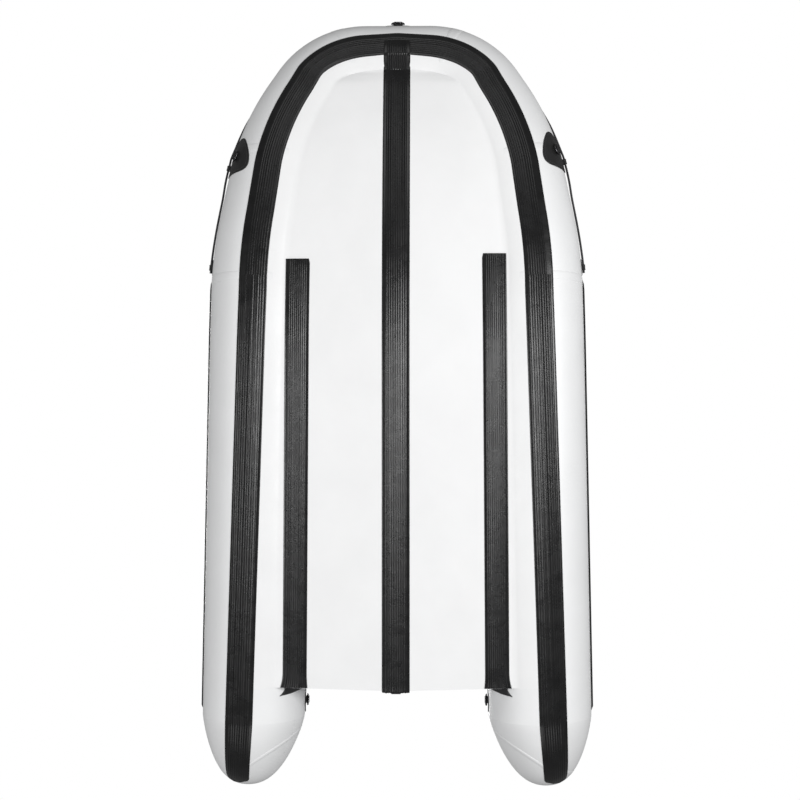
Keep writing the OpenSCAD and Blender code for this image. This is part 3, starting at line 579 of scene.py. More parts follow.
def painted_ply(name, rgb):
    """Marine plywood under grey deck paint, the grain just telegraphing through."""
    s = Surface(name)
    s.base(rgb, 0.05, s.noise(8, 6))
    s.relief(s.noise(14, 6, 0.6, (0.25, 8, 8)), 0.00025)
    s.relief(s.noise(260, 2), 0.00008)
    s.gloss(0.3, 0.42, s.noise(20, 4))
    return s.material


def varnished_ply(name, rgb):
    """Varnished plywood with its grain across the boat and plies at the edge."""
    s = Surface(name)
    grain = s.noise(5, 8, 0.6, (0.6, 14, 14))
    base = s.base(rgb, 0.3, grain)
    plies = s.spread(s.wave(90, "Z"), 0.75, 1.05, 0.2, 0.8)
    shade = s.nodes.new("ShaderNodeMix")
    shade.data_type = "RGBA"
    shade.blend_type = "MULTIPLY"
    shade.inputs["Factor"].default_value = 0.5
    s.link(base, shade.inputs["A"])
    s.link(plies, shade.inputs["B"])
    s.link(shade.outputs["Result"], s.shader.inputs["Base Color"])
    s.relief(grain, 0.00012)
    s.gloss(0.2, 0.32, s.noise(25, 4))
    s.set(Coat_Weight=0.5, Coat_Roughness=0.12)
    return s.material


def paint_all():
    c = colours()
    MATERIALS.update(
        tube=coated_fabric("Tube fabric", tuple(c.tube)),
        bottom=coated_fabric("Bottom fabric", tuple(c.bottom), 0.34, 0.46, 0.0016),
        floor=coated_fabric("Floor fabric", tuple(c.floor), 0.45, 0.6, 0.0006),
        strip=strip_rubber("Strip rubber", tuple(c.strip)),
        patch=webbing("Patch fabric", tuple(c.patch)),
        plastic=moulding("Black moulding", tuple(c.plastic)),
        valve=moulding("Valve moulding", (0.3, 0.31, 0.32), 0.28, 0.4),
        nylon=moulding("Oarlock nylon", (0.2, 0.205, 0.21), 0.35, 0.48),
        # The rings' steel is far darker than real steel: painted shade, standing for the shadow the rings hang in
        steel=steel("Ring steel darkened as painted shade", (0.09, 0.09, 0.095)),
        bolt=steel("Bolt steel", (0.5, 0.5, 0.5)),
        rope=braid("Rope braid", tuple(c.rope)),
        paint=painted_ply("Painted plywood", tuple(c.paint)),
        wood=varnished_ply("Varnished plywood", tuple(c.wood)),
        inner=coated_fabric("Baffle cloth", (0.5, 0.5, 0.5), 0.6, 0.7),
        track=webbing("Track tape", (0.03, 0.03, 0.032), 200),
        thread=braid("Thread", (0.09, 0.09, 0.095)),
        tape=coated_fabric("Seam tape", tuple(v * 0.985 for v in c.tube), 0.4, 0.52, 0.0004),
    )


# ---- Node trees for what repeats or follows a rule ----
class Tree:
    """A Geometry Nodes tree under construction, with named inputs."""

    def __init__(self, name):
        self.tree = bpy.data.node_groups.new(name, "GeometryNodeTree")
        self.tree.interface.new_socket("Geometry", in_out="INPUT", socket_type="NodeSocketGeometry")
        self.tree.interface.new_socket("Geometry", in_out="OUTPUT", socket_type="NodeSocketGeometry")
        self.start = self.tree.nodes.new("NodeGroupInput")

    def input(self, name, kind, default=None):
        socket = self.tree.interface.new_socket(name, in_out="INPUT", socket_type="NodeSocket" + kind)
        if default is not None:
            socket.default_value = default
        return self.start.outputs[name]

    def node(self, kind, settings=(), **inputs):
        node = self.tree.nodes.new(kind)
        for key, value in settings:
            setattr(node, key, value)
        for key, value in inputs.items():
            socket = node.inputs[key.replace("_", " ")]
            if isinstance(value, bpy.types.NodeSocket):
                self.tree.links.new(value, socket)
            else:
                socket.default_value = value
        return node

    def maths(self, operation, *values):
        node = self.tree.nodes.new("ShaderNodeMath")
        node.operation = operation
        for socket, value in zip(node.inputs, values):
            if isinstance(value, bpy.types.NodeSocket):
                self.tree.links.new(value, socket)
            else:
                socket.default_value = value
        return node.outputs[0]

    def attribute(self, name, vector=False):
        node = self.tree.nodes.new("GeometryNodeInputNamedAttribute")
        node.data_type = "FLOAT_VECTOR" if vector else "FLOAT"
        node.inputs["Name"].default_value = name
        return node.outputs["Attribute"]

    def finish(self, geometry, material):
        real = self.node("GeometryNodeRealizeInstances", Geometry=geometry)
        painted = self.node("GeometryNodeSetMaterial", Geometry=real.outputs[0], Material=material)
        end = self.tree.nodes.new("NodeGroupOutput")
        self.tree.links.new(painted.outputs[0], end.inputs[0])
        return self.tree


def tube_tree():
    """A round tube along a line of points."""
    t = Tree("Air tube")
    radius = t.input("Tube radius", "Float", 0.205)
    sides = t.input("Sides", "Int", 96)
    material = t.input("Material", "Material")
    line = t.node("GeometryNodeMeshToCurve", Mesh=t.start.outputs["Geometry"])
    upright = t.node("GeometryNodeSetCurveNormal", (("mode", "Z_UP"),), Curve=line.outputs[0])
    ring = t.node("GeometryNodeCurvePrimitiveCircle", Resolution=sides, Radius=radius)
    tube = t.node(
        "GeometryNodeCurveToMesh", Curve=upright.outputs[0], Profile_Curve=ring.outputs[0], Fill_Caps=False
    )
    return t.finish(tube.outputs[0], material)


def rib_tree():
    """Raises rounded ribs along a strip, from how far across it each point lies."""
    t = Tree("Ribbed strip")
    ribs = t.input("Ribs", "Float", 9.0)
    height = t.input("Rib height", "Float", 0.0016)
    low = t.input("Plain inside", "Float", 0.1)
    high = t.input("Plain outside", "Float", 0.1)
    material = t.input("Material", "Material")
    across = t.attribute("across")
    span = t.maths("SUBTRACT", t.maths("SUBTRACT", 1.0, low), high)
    place = t.maths("DIVIDE", t.maths("SUBTRACT", across, low), span)
    inside = t.maths("MULTIPLY", t.maths("GREATER_THAN", place, 0.0), t.maths("LESS_THAN", place, 1.0))
    wave = t.maths("SINE", t.maths("MULTIPLY", t.maths("MULTIPLY", place, ribs), math.pi))
    crest = t.maths("POWER", t.maths("ABSOLUTE", wave), 0.8)
    shown_rib = t.maths("MULTIPLY", inside, t.attribute("top"))
    lift = t.maths("MULTIPLY", t.maths("MULTIPLY", crest, height), shown_rib)
    push = t.node("ShaderNodeVectorMath", (("operation", "SCALE"),))
    t.tree.links.new(t.attribute("out", True), push.inputs[0])
    t.tree.links.new(lift, push.inputs["Scale"])
    moved = t.node("GeometryNodeSetPosition", Geometry=t.start.outputs["Geometry"], Offset=push.outputs[0])
    return t.finish(moved.outputs[0], material)


def stitch_tree():
    """Stitches of thread, one after another along a line."""
    t = Tree("Stitch row")
    step = t.input("Stitch pitch", "Float", 0.004)
    thick = t.input("Thread radius", "Float", 0.0004)
    material = t.input("Material", "Material")
    line = t.node("GeometryNodeMeshToCurve", Mesh=t.start.outputs["Geometry"])
    points = t.node("GeometryNodeCurveToPoints", (("mode", "LENGTH"),), Curve=line.outputs[0], Length=step)
    knot = t.node("GeometryNodeMeshUVSphere", Segments=8, Rings=6, Radius=1.0)
    size = t.node("ShaderNodeCombineXYZ", X=thick, Y=thick, Z=t.maths("MULTIPLY", step, 0.38))
    turned = t.node(
        "GeometryNodeInstanceOnPoints",
        Points=points.outputs["Points"],
        Instance=knot.outputs["Mesh"],
        Rotation=points.outputs["Rotation"],
        Scale=size.outputs[0],
    )
    return t.finish(turned.outputs[0], material)


def grown(obj, tree, **values):
    """Applies a node tree with its inputs set, and makes the result the object's mesh."""
    growth = obj.modifiers.new(tree.name, "NODES")
    growth.node_group = tree
    for item in tree.interface.items_tree:
        key = item.name.replace(" ", "_")
        if item.item_type == "SOCKET" and item.in_out == "INPUT" and key in values:
            growth[item.identifier] = values[key]
    return flattened(obj)


def add_values(data, **layers):
    """Stores a value, or a vector, for each point of a mesh."""
    for name, values in layers.items():
        vector = isinstance(values[0], Vector)
        layer = data.attributes.new(name, "FLOAT_VECTOR" if vector else "FLOAT", "POINT")
        flat = [c for v in values for c in v] if vector else values
        layer.data.foreach_set("vector" if vector else "value", flat)


def row_of_stitches(name, lines, pitch=0.004):
    """One object of stitches along several lines of points."""
    data = bpy.data.meshes.new(name)
    points, edges = [], []
    for line in lines:
        first = len(points)
        points += [tuple(p) for p in line]
        edges += [(first + k, first + k + 1) for k in range(len(line) - 1)]
    data.from_pydata(points, edges, [])
    obj = shown(name, data)
    grown(obj, stitch_tree(), Stitch_pitch=pitch, Thread_radius=THREAD_RADIUS, Material=MATERIALS["thread"])
    obj.data.shade_smooth()
    return obj


# ---- The grab lines ----
LINE_ROUTE = [
    (0.7523, 0.494, 0.2385), (0.7508, 0.516, 0.2413), (0.7489, 0.538, 0.243), (0.7405, 0.604, 0.248),
    (0.73, 0.672, 0.255), (0.7185, 0.739, 0.266), (0.7075, 0.799, 0.274), (0.6985, 0.86, 0.281),
    (0.69, 0.908, 0.2925), (0.686, 0.927, 0.298), (0.6815, 0.9475, 0.3035), (0.677, 0.969, 0.3105),
    (0.664, 1.008, 0.328), (0.6445, 1.066, 0.355), (0.623, 1.122, 0.386), (0.59, 1.188, 0.422),
    (0.557, 1.242, 0.459), (0.523, 1.291, 0.491), (0.498, 1.336, 0.5095), (0.484, 1.3575, 0.516),
    (0.4695, 1.373, 0.522),
]


def smooth_line(points, steps):
    """A smooth curve through the points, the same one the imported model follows."""
    points = [Vector(p) for p in points]
    last = len(points) - 1
    line = []
    for i in range(last):
        a, b, c, d = points[max(i - 1, 0)], points[i], points[i + 1], points[min(i + 2, last)]
        for k in range(steps):
            t = k / steps
            square, cube = 2 * a - 5 * b + 4 * c - d, 3 * b - a - 3 * c + d
            line.append(0.5 * (2 * b + (c - a) * t + square * t * t + cube * t**3))
    return line + [points[last]]


def line_length(line):
    return sum((b - a).length for a, b in zip(line, line[1:]))


def make_grab_line(port):
    """A braided line whose strands cross over and under each other."""
    side = side_name(port)
    radius = sizes().line_diameter / 2
    line = smooth_line(LINE_ROUTE, 24)
    total = line_length(line)
    steps = int(total / 0.0016)
    shape = Shape(port)
    run, table = 0.0, []
    for k, p in enumerate(line):
        run += (p - line[k - 1]).length if k else 0
        table.append((run, k))
    rings = []
    for k in range(steps + 1):
        here = total * k / steps
        at = between(table, here)
        i = min(int(at), len(line) - 2)
        p = line[i].lerp(line[i + 1], at - i)
        fore = (line[i + 1] - line[i]).normalized()
        side_way = fore.cross(Vector((0, 0, 1))).normalized()
        other = fore.cross(side_way)
        ring = []
        for j in range(20):
            a = math.tau * j / 20
            braid_wave = math.cos(5 * a + here * 420) * math.cos(5 * a - here * 420)
            out = side_way * math.cos(a) + other * math.sin(a)
            ring.append(p + out * radius * (0.975 + 0.025 * braid_wave))
        rings.append(ring)
    shape.loft(rings)
    name, rope = side + "_grab_line_rope", MATERIALS["rope"]
    obj = piece(name, shape, rope, "line_rope", side + "_grab_line", angle=60, merge=1e-7)


# ---- Tubes ----
def make_tube(name, hull, runs, port, node, valve=None):
    """A length of tube, open under its valve."""
    data = bpy.data.meshes.new(name)
    points = mirrored([hull.axis(s) for s in runs], port)
    data.from_pydata([tuple(p) for p in points], [(k, k + 1) for k in range(len(points) - 1)], [])
    obj = shown(name, data)
    size = sizes()
    grown(obj, tube_tree(), Tube_radius=hull.radius, Sides=size.tube_sides, Material=MATERIALS["tube"])
    work = bmesh.new()
    work.from_mesh(obj.data)
    if valve is not None:
        centre = hull.on_tube(valve, VALVE_ANGLE, port).translation
        gone = [f for f in work.faces if (f.calc_center_median() - centre).length < 0.0195]
        bmesh.ops.delete(work, geom=gone, context="FACES")
    bmesh.ops.recalc_face_normals(work, faces=work.faces)
    middle = points[len(points) // 2]
    near = min(work.faces, key=lambda f: (f.calc_center_median() - middle).length)
    if (near.calc_center_median() - middle).dot(near.normal) < 0:
        bmesh.ops.reverse_faces(work, faces=work.faces)
    work.to_mesh(obj.data)
    work.free()
    obj.data.shade_smooth()
    return settle(obj, "hull", "tube_fabric", node)


def run_stops(low, high, step, near=None):
    """Runs from low to high, closer together around a fitting."""
    stops = [low]
    while stops[-1] < high - 1e-6:
        fine = near is not None and abs(stops[-1] - near) < 0.06
        stops.append(min(high, stops[-1] + (0.0065 if fine else step)))
    return stops


def seam_ring(shape, hull, run):
    """A lapped seam around the tube, its two edges feathered."""
    width, thick, around = 0.03, 0.0009, 144
    profile = [(-0.5, 0.00005), (-0.47, 0.85), (-0.2, 1), (0.2, 1), (0.47, 0.85), (0.5, 0.00005)]
    turns = [math.tau * j / around for j in range(around)]
    shape.loft(
        [[hull.skin(run + width * share, a, hull.radius + thick * rise) for a in turns] for share, rise in profile],
        caps=False,
    )


def make_seams(hull):
    for port in (True, False):
        side = side_name(port)
        shape = Shape(port)
        for run in (hull.baffle_run, hull.run_at(hull.bow_y - 0.42), hull.half_run - 0.2):
            seam_ring(shape, hull, run)
        piece(side + "_seam_tapes", shape, MATERIALS["tape"], "tube_fabric", angle=60)


def make_cone(hull, port):
    """A tail cone with its rounded tip and its slanting seam."""
    side = side_name(port)
    shape = Shape(port)
    stops = [-0.001] + [1 - (1 - k / 64) ** 2.2 for k in range(1, 64)]
    around = 96
    rings = [
        [hull.cone_skin(u, math.tau * j / around, hull.cone_radius(u)) for j in range(around)] for u in stops
    ]
    shape.loft(rings, caps=False)
    first = (len(rings) - 1) * around
    shape.points.append(mirrored([hull.cone_skin(0.9995, 0, 0)], port)[0])
    tip = len(shape.points) - 1
    shape.faces += [[first + j, first + (j + 1) % around, tip] for j in range(around)]
    piece(side + "_tail_cone_skin", shape, MATERIALS["tube"], "tube_fabric", side + "_tail_cone", angle=70)
    # The cone is let into the tube along a slanting seam
    lap = Shape(port)
    rings = []
    for share, rise in ((-0.5, 0.05), (-0.46, 0.85), (0, 1), (0.46, 0.85), (0.5, 0.05)):
        ring = []
        for j in range(192):
            angle = math.tau * j / 192
            slant = math.sin(angle)
            u = (0.19 + slant * (0.134 if slant < 0 else 0.05) + 0.02 * share) / sizes().cone_length
            ring.append(hull.cone_skin(u, angle, hull.cone_radius(u) + 0.0008 * rise))
        rings.append(ring)
    lap.loft(rings, caps=False)
    piece(side + "_cone_seam", lap, MATERIALS["tape"], "tube_fabric", angle=60, merge=1e-6)


# ---- Bottom sheet ----
def make_bottom(hull):
    """The bottom sheet with its flange glued along the tube."""
    aft = hull.transom_y - 0.014
    first_run = hull.run_at(hull.transom_y - 0.004)
    runs = run_stops(first_run, hull.half_run - 0.004, 0.016)
    thick = 0.0012
    out = hull.radius + GLUE + 0.003
    cols = [k / 22 for k in range(23)]
    shape = Shape()
    rows = []
    for n, s in enumerate(runs):
        edge = hull.skin(s, hull.sheet_turn(s), out)
        row = []
        for u in cols:
            x, y = u * edge.x, edge.y
            if n < 8:
                # The aft edge is a hollow curve, furthest aft at the keel
                y = edge.y + (aft - edge.y) * (1 - n / 8) * (1 - u) ** 1.3
            z = hull.low_z(x, y)
            if u > 0.965:
                z += 0.0012 * (u - 0.965) / 0.035
            row.append(Vector((x, y, z)))
        low = hull.sheet_turn(s)
        high = hull.wear_angle(s) - hull.wear_half + math.radians(4)
        for k in range(1, 9):
            share = k / 8
            reach = hull.radius + 0.0004 + 0.0026 * (1 - share) ** 2
            row.append(hull.skin(s, low + (high - low) * share, reach))
        rows.append(row)
    full = [[Vector((-p.x, p.y, p.z)) for p in reversed(row[1:])] + row for row in rows]
    shape.loft(full, closed=False, caps=False)
    data = shape.mesh("bottom_sheet", 50)
    # The surface must face down before it is given its thickness upwards
    if sum(f.normal.z * f.area for f in data.polygons) > 0:
        data.flip_normals()
    obj = shown("bottom_sheet", data, MATERIALS["bottom"])
    softened(obj, 0, thickness=thick)
    obj.data.shade_smooth()
    obj.data.set_sharp_from_angle(angle=math.radians(50))
    settle(obj, "hull", "bottom_fabric", "hull_bottom")


# ---- Ribbed strips ----
def ribbed(name, slices, plain, ribs=None, port=False):
    """A ribbed strip from slices, each a list of (top point, bottom point, outward) across it."""
    shape = Shape(port)
    across, tops, outs = [], [], []
    rings = []
    for cut in slices:
        last = len(cut) - 1
        ring = [top for top, _, _ in cut] + [low for _, low, _ in reversed(cut)]
        rings.append(ring)
        across += [k / last for k in range(last + 1)] + [k / last for k in range(last, -1, -1)]
        edge = [0.0 if k in (0, last) else 1.0 for k in range(last + 1)]
        tops += edge + [0.0] * (last + 1)
        flip = -1 if port else 1
        normals = [Vector((n.x * flip, n.y, n.z)) for _, _, n in cut]
        outs += normals + normals[::-1]
    shape.loft(rings)
    data = bpy.data.meshes.new(name)
    data.from_pydata([tuple(p) for p in shape.points], [], shape.faces)
    add_values(data, across=across, top=tops, out=outs)
    work = bmesh.new()
    work.from_mesh(data)
    bmesh.ops.recalc_face_normals(work, faces=work.faces)
    work.to_mesh(data)
    work.free()
    obj = shown(name, data)
    size = sizes()
    grown(
        obj, rib_tree(), Ribs=float(ribs or size.rib_count), Rib_height=size.rib_height,
        Plain_inside=plain[0], Plain_outside=plain[1], Material=MATERIALS["strip"],
    )
    obj.data.shade_smooth()
    obj.data.set_sharp_from_angle(angle=math.radians(48))
    return obj


ACROSS = 84


def plain_thick():
    """A strip's thickness between its ribs."""
    return sizes().strip_thick - sizes().rib_height


def crown(share):
    """The strip's edges taper down over its outer tenth."""
    reach = min(share, 1 - share) / 0.06
    return min(1.0, 0.3 + 0.7 * math.sqrt(max(0, min(1, reach))))


def band_slice(hull, run, low, high, pucker=None):
    cut = []
    for k in range(ACROSS + 1):
        share = k / ACROSS
        angle = low + (high - low) * share
        out = hull.away(run, angle)
        thick = plain_thick() * crown(share)
        lift = pucker(share) if pucker else 0.0
        top = hull.skin(run, angle, hull.strip_low + thick + lift)
        cut.append((top, hull.skin(run, angle, hull.strip_low - 0.0003), out))
    return cut


def make_side_wear_strip(hull, port):
    side = side_name(port)
    slices = []
    for k in range(26, 0, -1):
        u = 0.93 * k / 26
        r = hull.cone_radius(u)
        middle = math.asin(min(1, hull.radius * math.sin(math.radians(11)) / r))
        half = sizes().strip_width / 2 / r * (0.9 + 0.1 * (1 - u))
        # The strip's tail is rounded off
        half *= math.sqrt(max(0.05, 1 - max(0, (u - 0.86) / 0.075) ** 2))
        cut = []
        for j in range(ACROSS + 1):
            share = j / ACROSS
            angle = middle + half * (2 * share - 1)
            out = (hull.cone_skin(u, angle, r + 0.01) - hull.cone_skin(u, angle, r)).normalized()
            thick = plain_thick() * crown(share)
            top, low = r + GLUE + thick, r + GLUE - 0.0003
            cut.append((hull.cone_skin(u, angle, top), hull.cone_skin(u, angle, low), out))
        slices.append(cut)
    for s in run_stops(0.002, hull.baffle_run, 0.03):
        mid = hull.wear_angle(s)
        slices.append(band_slice(hull, s, mid - hull.wear_half, mid + hull.wear_half))
    obj = ribbed(side + "_wear_strip_ribbed", slices, (0.1, 0.11), port=port)
    settle(obj, "hull", "strip_rubber", side + "_wear_strip")


def corner_pucker(hull, run):
    """Small folds on the inner edge where the strip turns the bow's corner."""
    reach = 1 - min(1, abs(abs(run - hull.half_run) - 0.24) / 0.13)
    if reach <= 0:
        return None
    wave = math.sin(run * 190) * 0.5 + math.sin(run * 310 + 1) * 0.35 + 0.5
    return lambda share: 0.0022 * reach * max(0, wave) * max(0, 1 - share / 0.3) ** 1.5


def make_bow_wear_strip(hull):
    slices = []
    for s in run_stops(hull.baffle_run, hull.full_run - hull.baffle_run, 0.012):
        mid = hull.wear_angle(s)
        slices.append(band_slice(hull, s, mid - hull.wear_half, mid + hull.wear_half, corner_pucker(hull, s)))
    obj = ribbed("bow_wear_strip_ribbed", slices, (0.09, 0.24), ribs=8)
    settle(obj, "hull", "strip_rubber", "bow_wear_strip")


def under_slice(hull, y, x0, x1, drop, lift=None):
    cut = []
    for k in range(ACROSS + 1):
        share = k / ACROSS
        x = x0 + (x1 - x0) * share
        z = hull.low_z(x, y)
        thick = plain_thick() * crown(share) + (lift(share) if lift else 0)
        cut.append((Vector((x, y, z - drop - thick)), Vector((x, y, z - drop + 0.0003)), Vector((0, 0, -1))))
    return cut


def make_keel_strip(hull):
    """The keel strip, from the tape end under the transom to the nose over the bow strip."""
    half = sizes().keel_width / 2
    aft = hull.transom_y - 0.014
    front = hull.bow_y - hull.radius * math.sin(math.radians(2.4)) - 0.012
    slices = []
    thick = plain_thick()
    # The aft end turns up around the edge of the sheet
    for k in range(6, 0, -1):
        turn = math.pi / 2 * k / 6
        cut = []
        for j in range(ACROSS + 1):
            share = j / ACROSS
            x = half * (2 * share - 1)
            centre = Vector((x, aft, hull.low_z(x, aft) + 0.004))
            out = Vector((0, -math.sin(turn), -math.cos(turn)))
            wrinkle = 0.0008 * math.sin(share * 23) * k / 6
            cut.append((centre + out * (0.005 + thick * crown(share) + wrinkle), centre + out * 0.0044, out))
        slices.append(cut)
    steps = 90
    for k in range(steps + 1):
        y = aft + (front - aft) * k / steps
        slices.append(under_slice(hull, y, -half, half, 0.0005))
    tip_angle = hull.wear_angle(hull.half_run) - hull.wear_half
    tip = hull.bow_y + hull.strip_top * math.sin(tip_angle) + 0.056
    middle = hull.axis(hull.half_run)
    for k in range(1, 25):
        y = front + (tip - front) * k / 24
        angle = math.asin(max(-0.99, min(0.99, (y - hull.bow_y) / hull.strip_top)))
        out = Vector((0, math.sin(angle), -math.cos(angle)))
        # It climbs over the bow strip's edge in a short step
        climb = min(1, max(0, (angle - tip_angle + 0.05) / 0.06))
        climb = climb * climb * (3 - 2 * climb)
        base = hull.strip_low + 0.0026 * (1 - min(1, k / 4)) + (sizes().strip_thick + 0.0002) * climb
        narrow = 1 - 0.04 * max(0, k - 18) / 6
        cut = []
        for j in range(ACROSS + 1):
            share = j / ACROSS
            x = half * narrow * (2 * share - 1)
            here = Vector((x, hull.bow_y, middle.z))
            cut.append((here + out * (base + thick * crown(share)), here + out * (base - 0.0005), out))
        slices.append(cut)
    obj = ribbed("keel_strip_ribbed", slices, (0.12, 0.12))
    settle(obj, "hull", "strip_rubber", "keel_strip")


def make_runner(hull, port):
    """A bottom runner whose aft end flares and wrinkles around the edge of the sheet."""
    size = sizes()
    side = side_name(port)
    aft = hull.transom_y - 0.0055
    front = hull.transom_y + 0.01 + size.runner_length - (0 if port else 0.02)
    outer = between(hull.edge_x, hull.transom_y + 0.01 + size.runner_length) - 0.002
    steps = 96
    slices = []
    for k in range(steps + 1):
        y = aft + (front - aft) * k / steps
        x = outer + 0.012 * (1 - k / steps)
        flare = max(0, 1 - (y - aft) / 0.06) ** 2
        round_off = math.sqrt(max(0.0, 1 - max(0, (y - front + 0.012) / 0.012) ** 2)) * 0.04 + 0.96
        wide = size.runner_width * round_off
        x1 = x + 0.009 * flare
        x0 = x - wide - 0.003 * flare
        phase = y * 60

        def wrinkle(share, flare=flare, phase=phase):
            return 0.0016 * flare * (math.sin(share * 19 + phase) * 0.5 + 0.5)

        slices.append(under_slice(hull, y, x0, x1, 0.0005, wrinkle))
    obj = ribbed(side + "_runner_ribbed", slices, (0.12, 0.12), port=port)
    settle(obj, "hull", "strip_rubber", side + "_runner")


def make_strake(hull, port):
    """The rub strake: a fat hollow-edged profile with two grooves, tapered at its front."""
    side = side_name(port)
    half = 0.044 / 2 / hull.radius
    middle = math.radians(98)
    end = hull.run_at(hull.bow_y - 0.872)
    profile = [
        (-1, 0.0), (-1, 0.0022), (-0.86, 0.0034), (-0.6, 0.0062), (-0.46, 0.0106), (-0.3, 0.012), (-0.16, 0.0118),
        (-0.08, 0.0092), (0.08, 0.0092), (0.16, 0.0118), (0.3, 0.012), (0.46, 0.0106), (0.6, 0.0062), (0.86, 0.0034),
        (1, 0.0022), (1, 0.0),
    ]
    shape = Shape(port)
    rings = []
    stops = run_stops(0.004, end, 0.02)
    for s in stops:
        tail = min(1, (s - 0.004) / 0.02 + 0.25, (end - s) / 0.03 + 0.25)
        rings.append([hull.skin(s, middle + half * w, hull.strip_low + h * tail) for w, h in profile])
    shape.loft(rings)
    name = side + "_strake_profile"
    obj = shown(name, shape.mesh(name, 32), MATERIALS["strip"])
    softened(obj, 0.0006)
    settle(obj, "hull", "strip_rubber", side + "_rub_strake")


# ---- Patches, rings and eyes ----
OVAL = [(math.cos(math.tau * k / 48), math.sin(math.tau * k / 48)) for k in range(48)]
TRIANGLE_HALF = [
    (-1, 0.0), (-1, 0.5), (-0.93, 0.8), (-0.75, 0.96), (-0.45, 1), (0, 0.88), (0.4, 0.68), (0.75, 0.42), (0.94, 0.22),
    (1, 0.0),
]


def rounded_outline(half):
    """A closed outline from one half of it, with its corners cut round."""
    ring = half + [(a, -w) for a, w in reversed(half[1:-1])]
    for _ in range(3):
        ring = [
            q
            for (a, b), (c, d) in zip(ring, ring[1:] + ring[:1])
            for q in ((0.75 * a + 0.25 * c, 0.75 * b + 0.25 * d), (0.25 * a + 0.75 * c, 0.25 * b + 0.75 * d))
        ]
    return ring


def add_patch(shape, hull, run, angle, long, wide, outline):
    """A patch that lies on the tube, its edge feathered and a raised hem around it."""
    thick = 0.0028
    profile = [
        (1.0, -0.0003), (1.0, 0.4), (0.99, 0.8), (0.975, 1.0), (0.94, 1.0), (0.93, 0.78), (0.8, 0.74), (0.6, 0.74),
        (0.4, 0.78), (0.2, 0.82), (0.04, 0.84),
    ]
    rings = []
    for share, rise in profile:
        ring = []
        for a, w in outline:
            turn = angle + wide * w * share / hull.radius
            ring.append(hull.skin(run + long * a * share, turn, hull.strip_low + thick * rise))
        rings.append(ring)
    shape.loft(rings)


def add_sleeve(shape, place, wire, length, outer):
    """A webbing sleeve folded over the straight side of a ring, its tails stitched flat."""
    top = PATCH_TOP + outer
    arc = [math.radians(240 - 12.5 * k) for k in range(25)]
    tail = [(outer * 1.5, PATCH_TOP + 0.0016), (outer * 2.4, PATCH_TOP - 0.0004), (outer * 2.4, 0.0006)]
    section = [(-y, z) for y, z in reversed(tail)]
    section += [(outer * math.cos(a), top + outer * math.sin(a)) for a in arc] + tail
    rings = []
    for k in range(13):
        x = length * (k / 12 - 0.5)
        pinch = 1 - 0.05 * (1 if k in (0, 12) else 0)
        rings.append([(x, y * pinch, z * (1 if z < PATCH_TOP else pinch)) for y, z in section])
    shape.loft(rings, place)
    # The mouths of the sleeve around the wire
    low, high, half = wire + 0.0012, outer * 0.86, 0.0006
    for end in (1, -1):
        mouth = place @ Matrix.Translation((end * length / 2, 0, top)) @ Matrix.Rotation(math.pi / 2, 4, "Y")
        shape.turned([(low, -half), (high, -half), (high, half), (low, half)], mouth)


def add_eye(shape, place, length):
    """A moulded eye with a flared mouth, on a low foot, that the line passes through."""
    inner = sizes().line_diameter / 2 + 0.0007
    outer = inner + 0.003
    profile = [
        (inner + 0.0009, -0.5), (inner, -0.42), (inner, 0.42), (inner + 0.0009, 0.5), (outer - 0.0006, 0.5),
        (outer, 0.44), (outer - 0.0007, 0.3), (outer - 0.0007, -0.3), (outer, -0.44), (outer - 0.0006, -0.5),
    ]
    seat = place @ Matrix.Translation((0, 0, 0.0105)) @ Matrix.Rotation(math.pi / 2, 4, "Y")
    shape.turned([(r, share * length) for r, share in profile], seat, 40)
    rings = []
    for x in (-0.5, -0.46, 0.46, 0.5):
        pinch = 0.9 if abs(x) == 0.5 else 1.0
        rings.append([(x * length, y * pinch, z) for y, z in (
            (-0.013, 0.0008), (-0.0125, 0.0036), (-0.0085, 0.0048), (-0.0068, 0.0072), (0.0068, 0.0072),
            (0.0085, 0.0048), (0.0125, 0.0036), (0.013, 0.0008))])
    shape.loft(rings, place)


def patch_stitches(hull, port, run, angle, long, wide, outline):
    """A closed row of stitch points just inside a patch's hem."""
    share = 0.88
    points = [
        hull.skin(run + long * a * share, angle + wide * w * share / hull.radius, hull.strip_low + 0.0023)
        for a, w in outline + outline[:1]
    ]
    return mirrored(points, port)


def make_ring(name, body, place, wire, half, outer, turned=False):
    """A welded D ring hanging from its straight side, with the weld's small bead."""
    shape = Shape()
    seat = place @ Matrix.Translation((0, 0, PATCH_TOP + outer))
    flip = 1 if turned else -1
    path = []
    for k in range(9):
        path.append((half * (2 * k / 8 - 1) * 0.96, 0, 0))
    for k in range(1, 49):
        a = math.pi * k / 48
        path.append((half * math.cos(a), flip * half * math.sin(a), 0))
    loop = [Vector(p) for p in path[:-1]]
    rings, n = [], len(loop)
    for k, p in enumerate(loop):
        fore = (loop[(k + 1) % n] - loop[k - 1]).normalized()
        side = fore.cross(Vector((0, 0, 1))).normalized()
        # The weld, in the middle of the straight side
        bead = 1.06 if k == 4 else 1.0
        turns = [math.tau * j / 20 for j in range(20)]
        rings.append([p + (side * math.cos(a) + Vector((0, 0, 1)) * math.sin(a)) * wire * bead for a in turns])
    rings.append(rings[0])
    shape.loft(rings, seat, caps=False)
    piece(name, shape, MATERIALS["steel"], "ring_steel", body, body=body, angle=60)


def side_run(hull, port):
    return hull.run_at(hull.nose_y - 0.625 - (0 if port else 0.02))


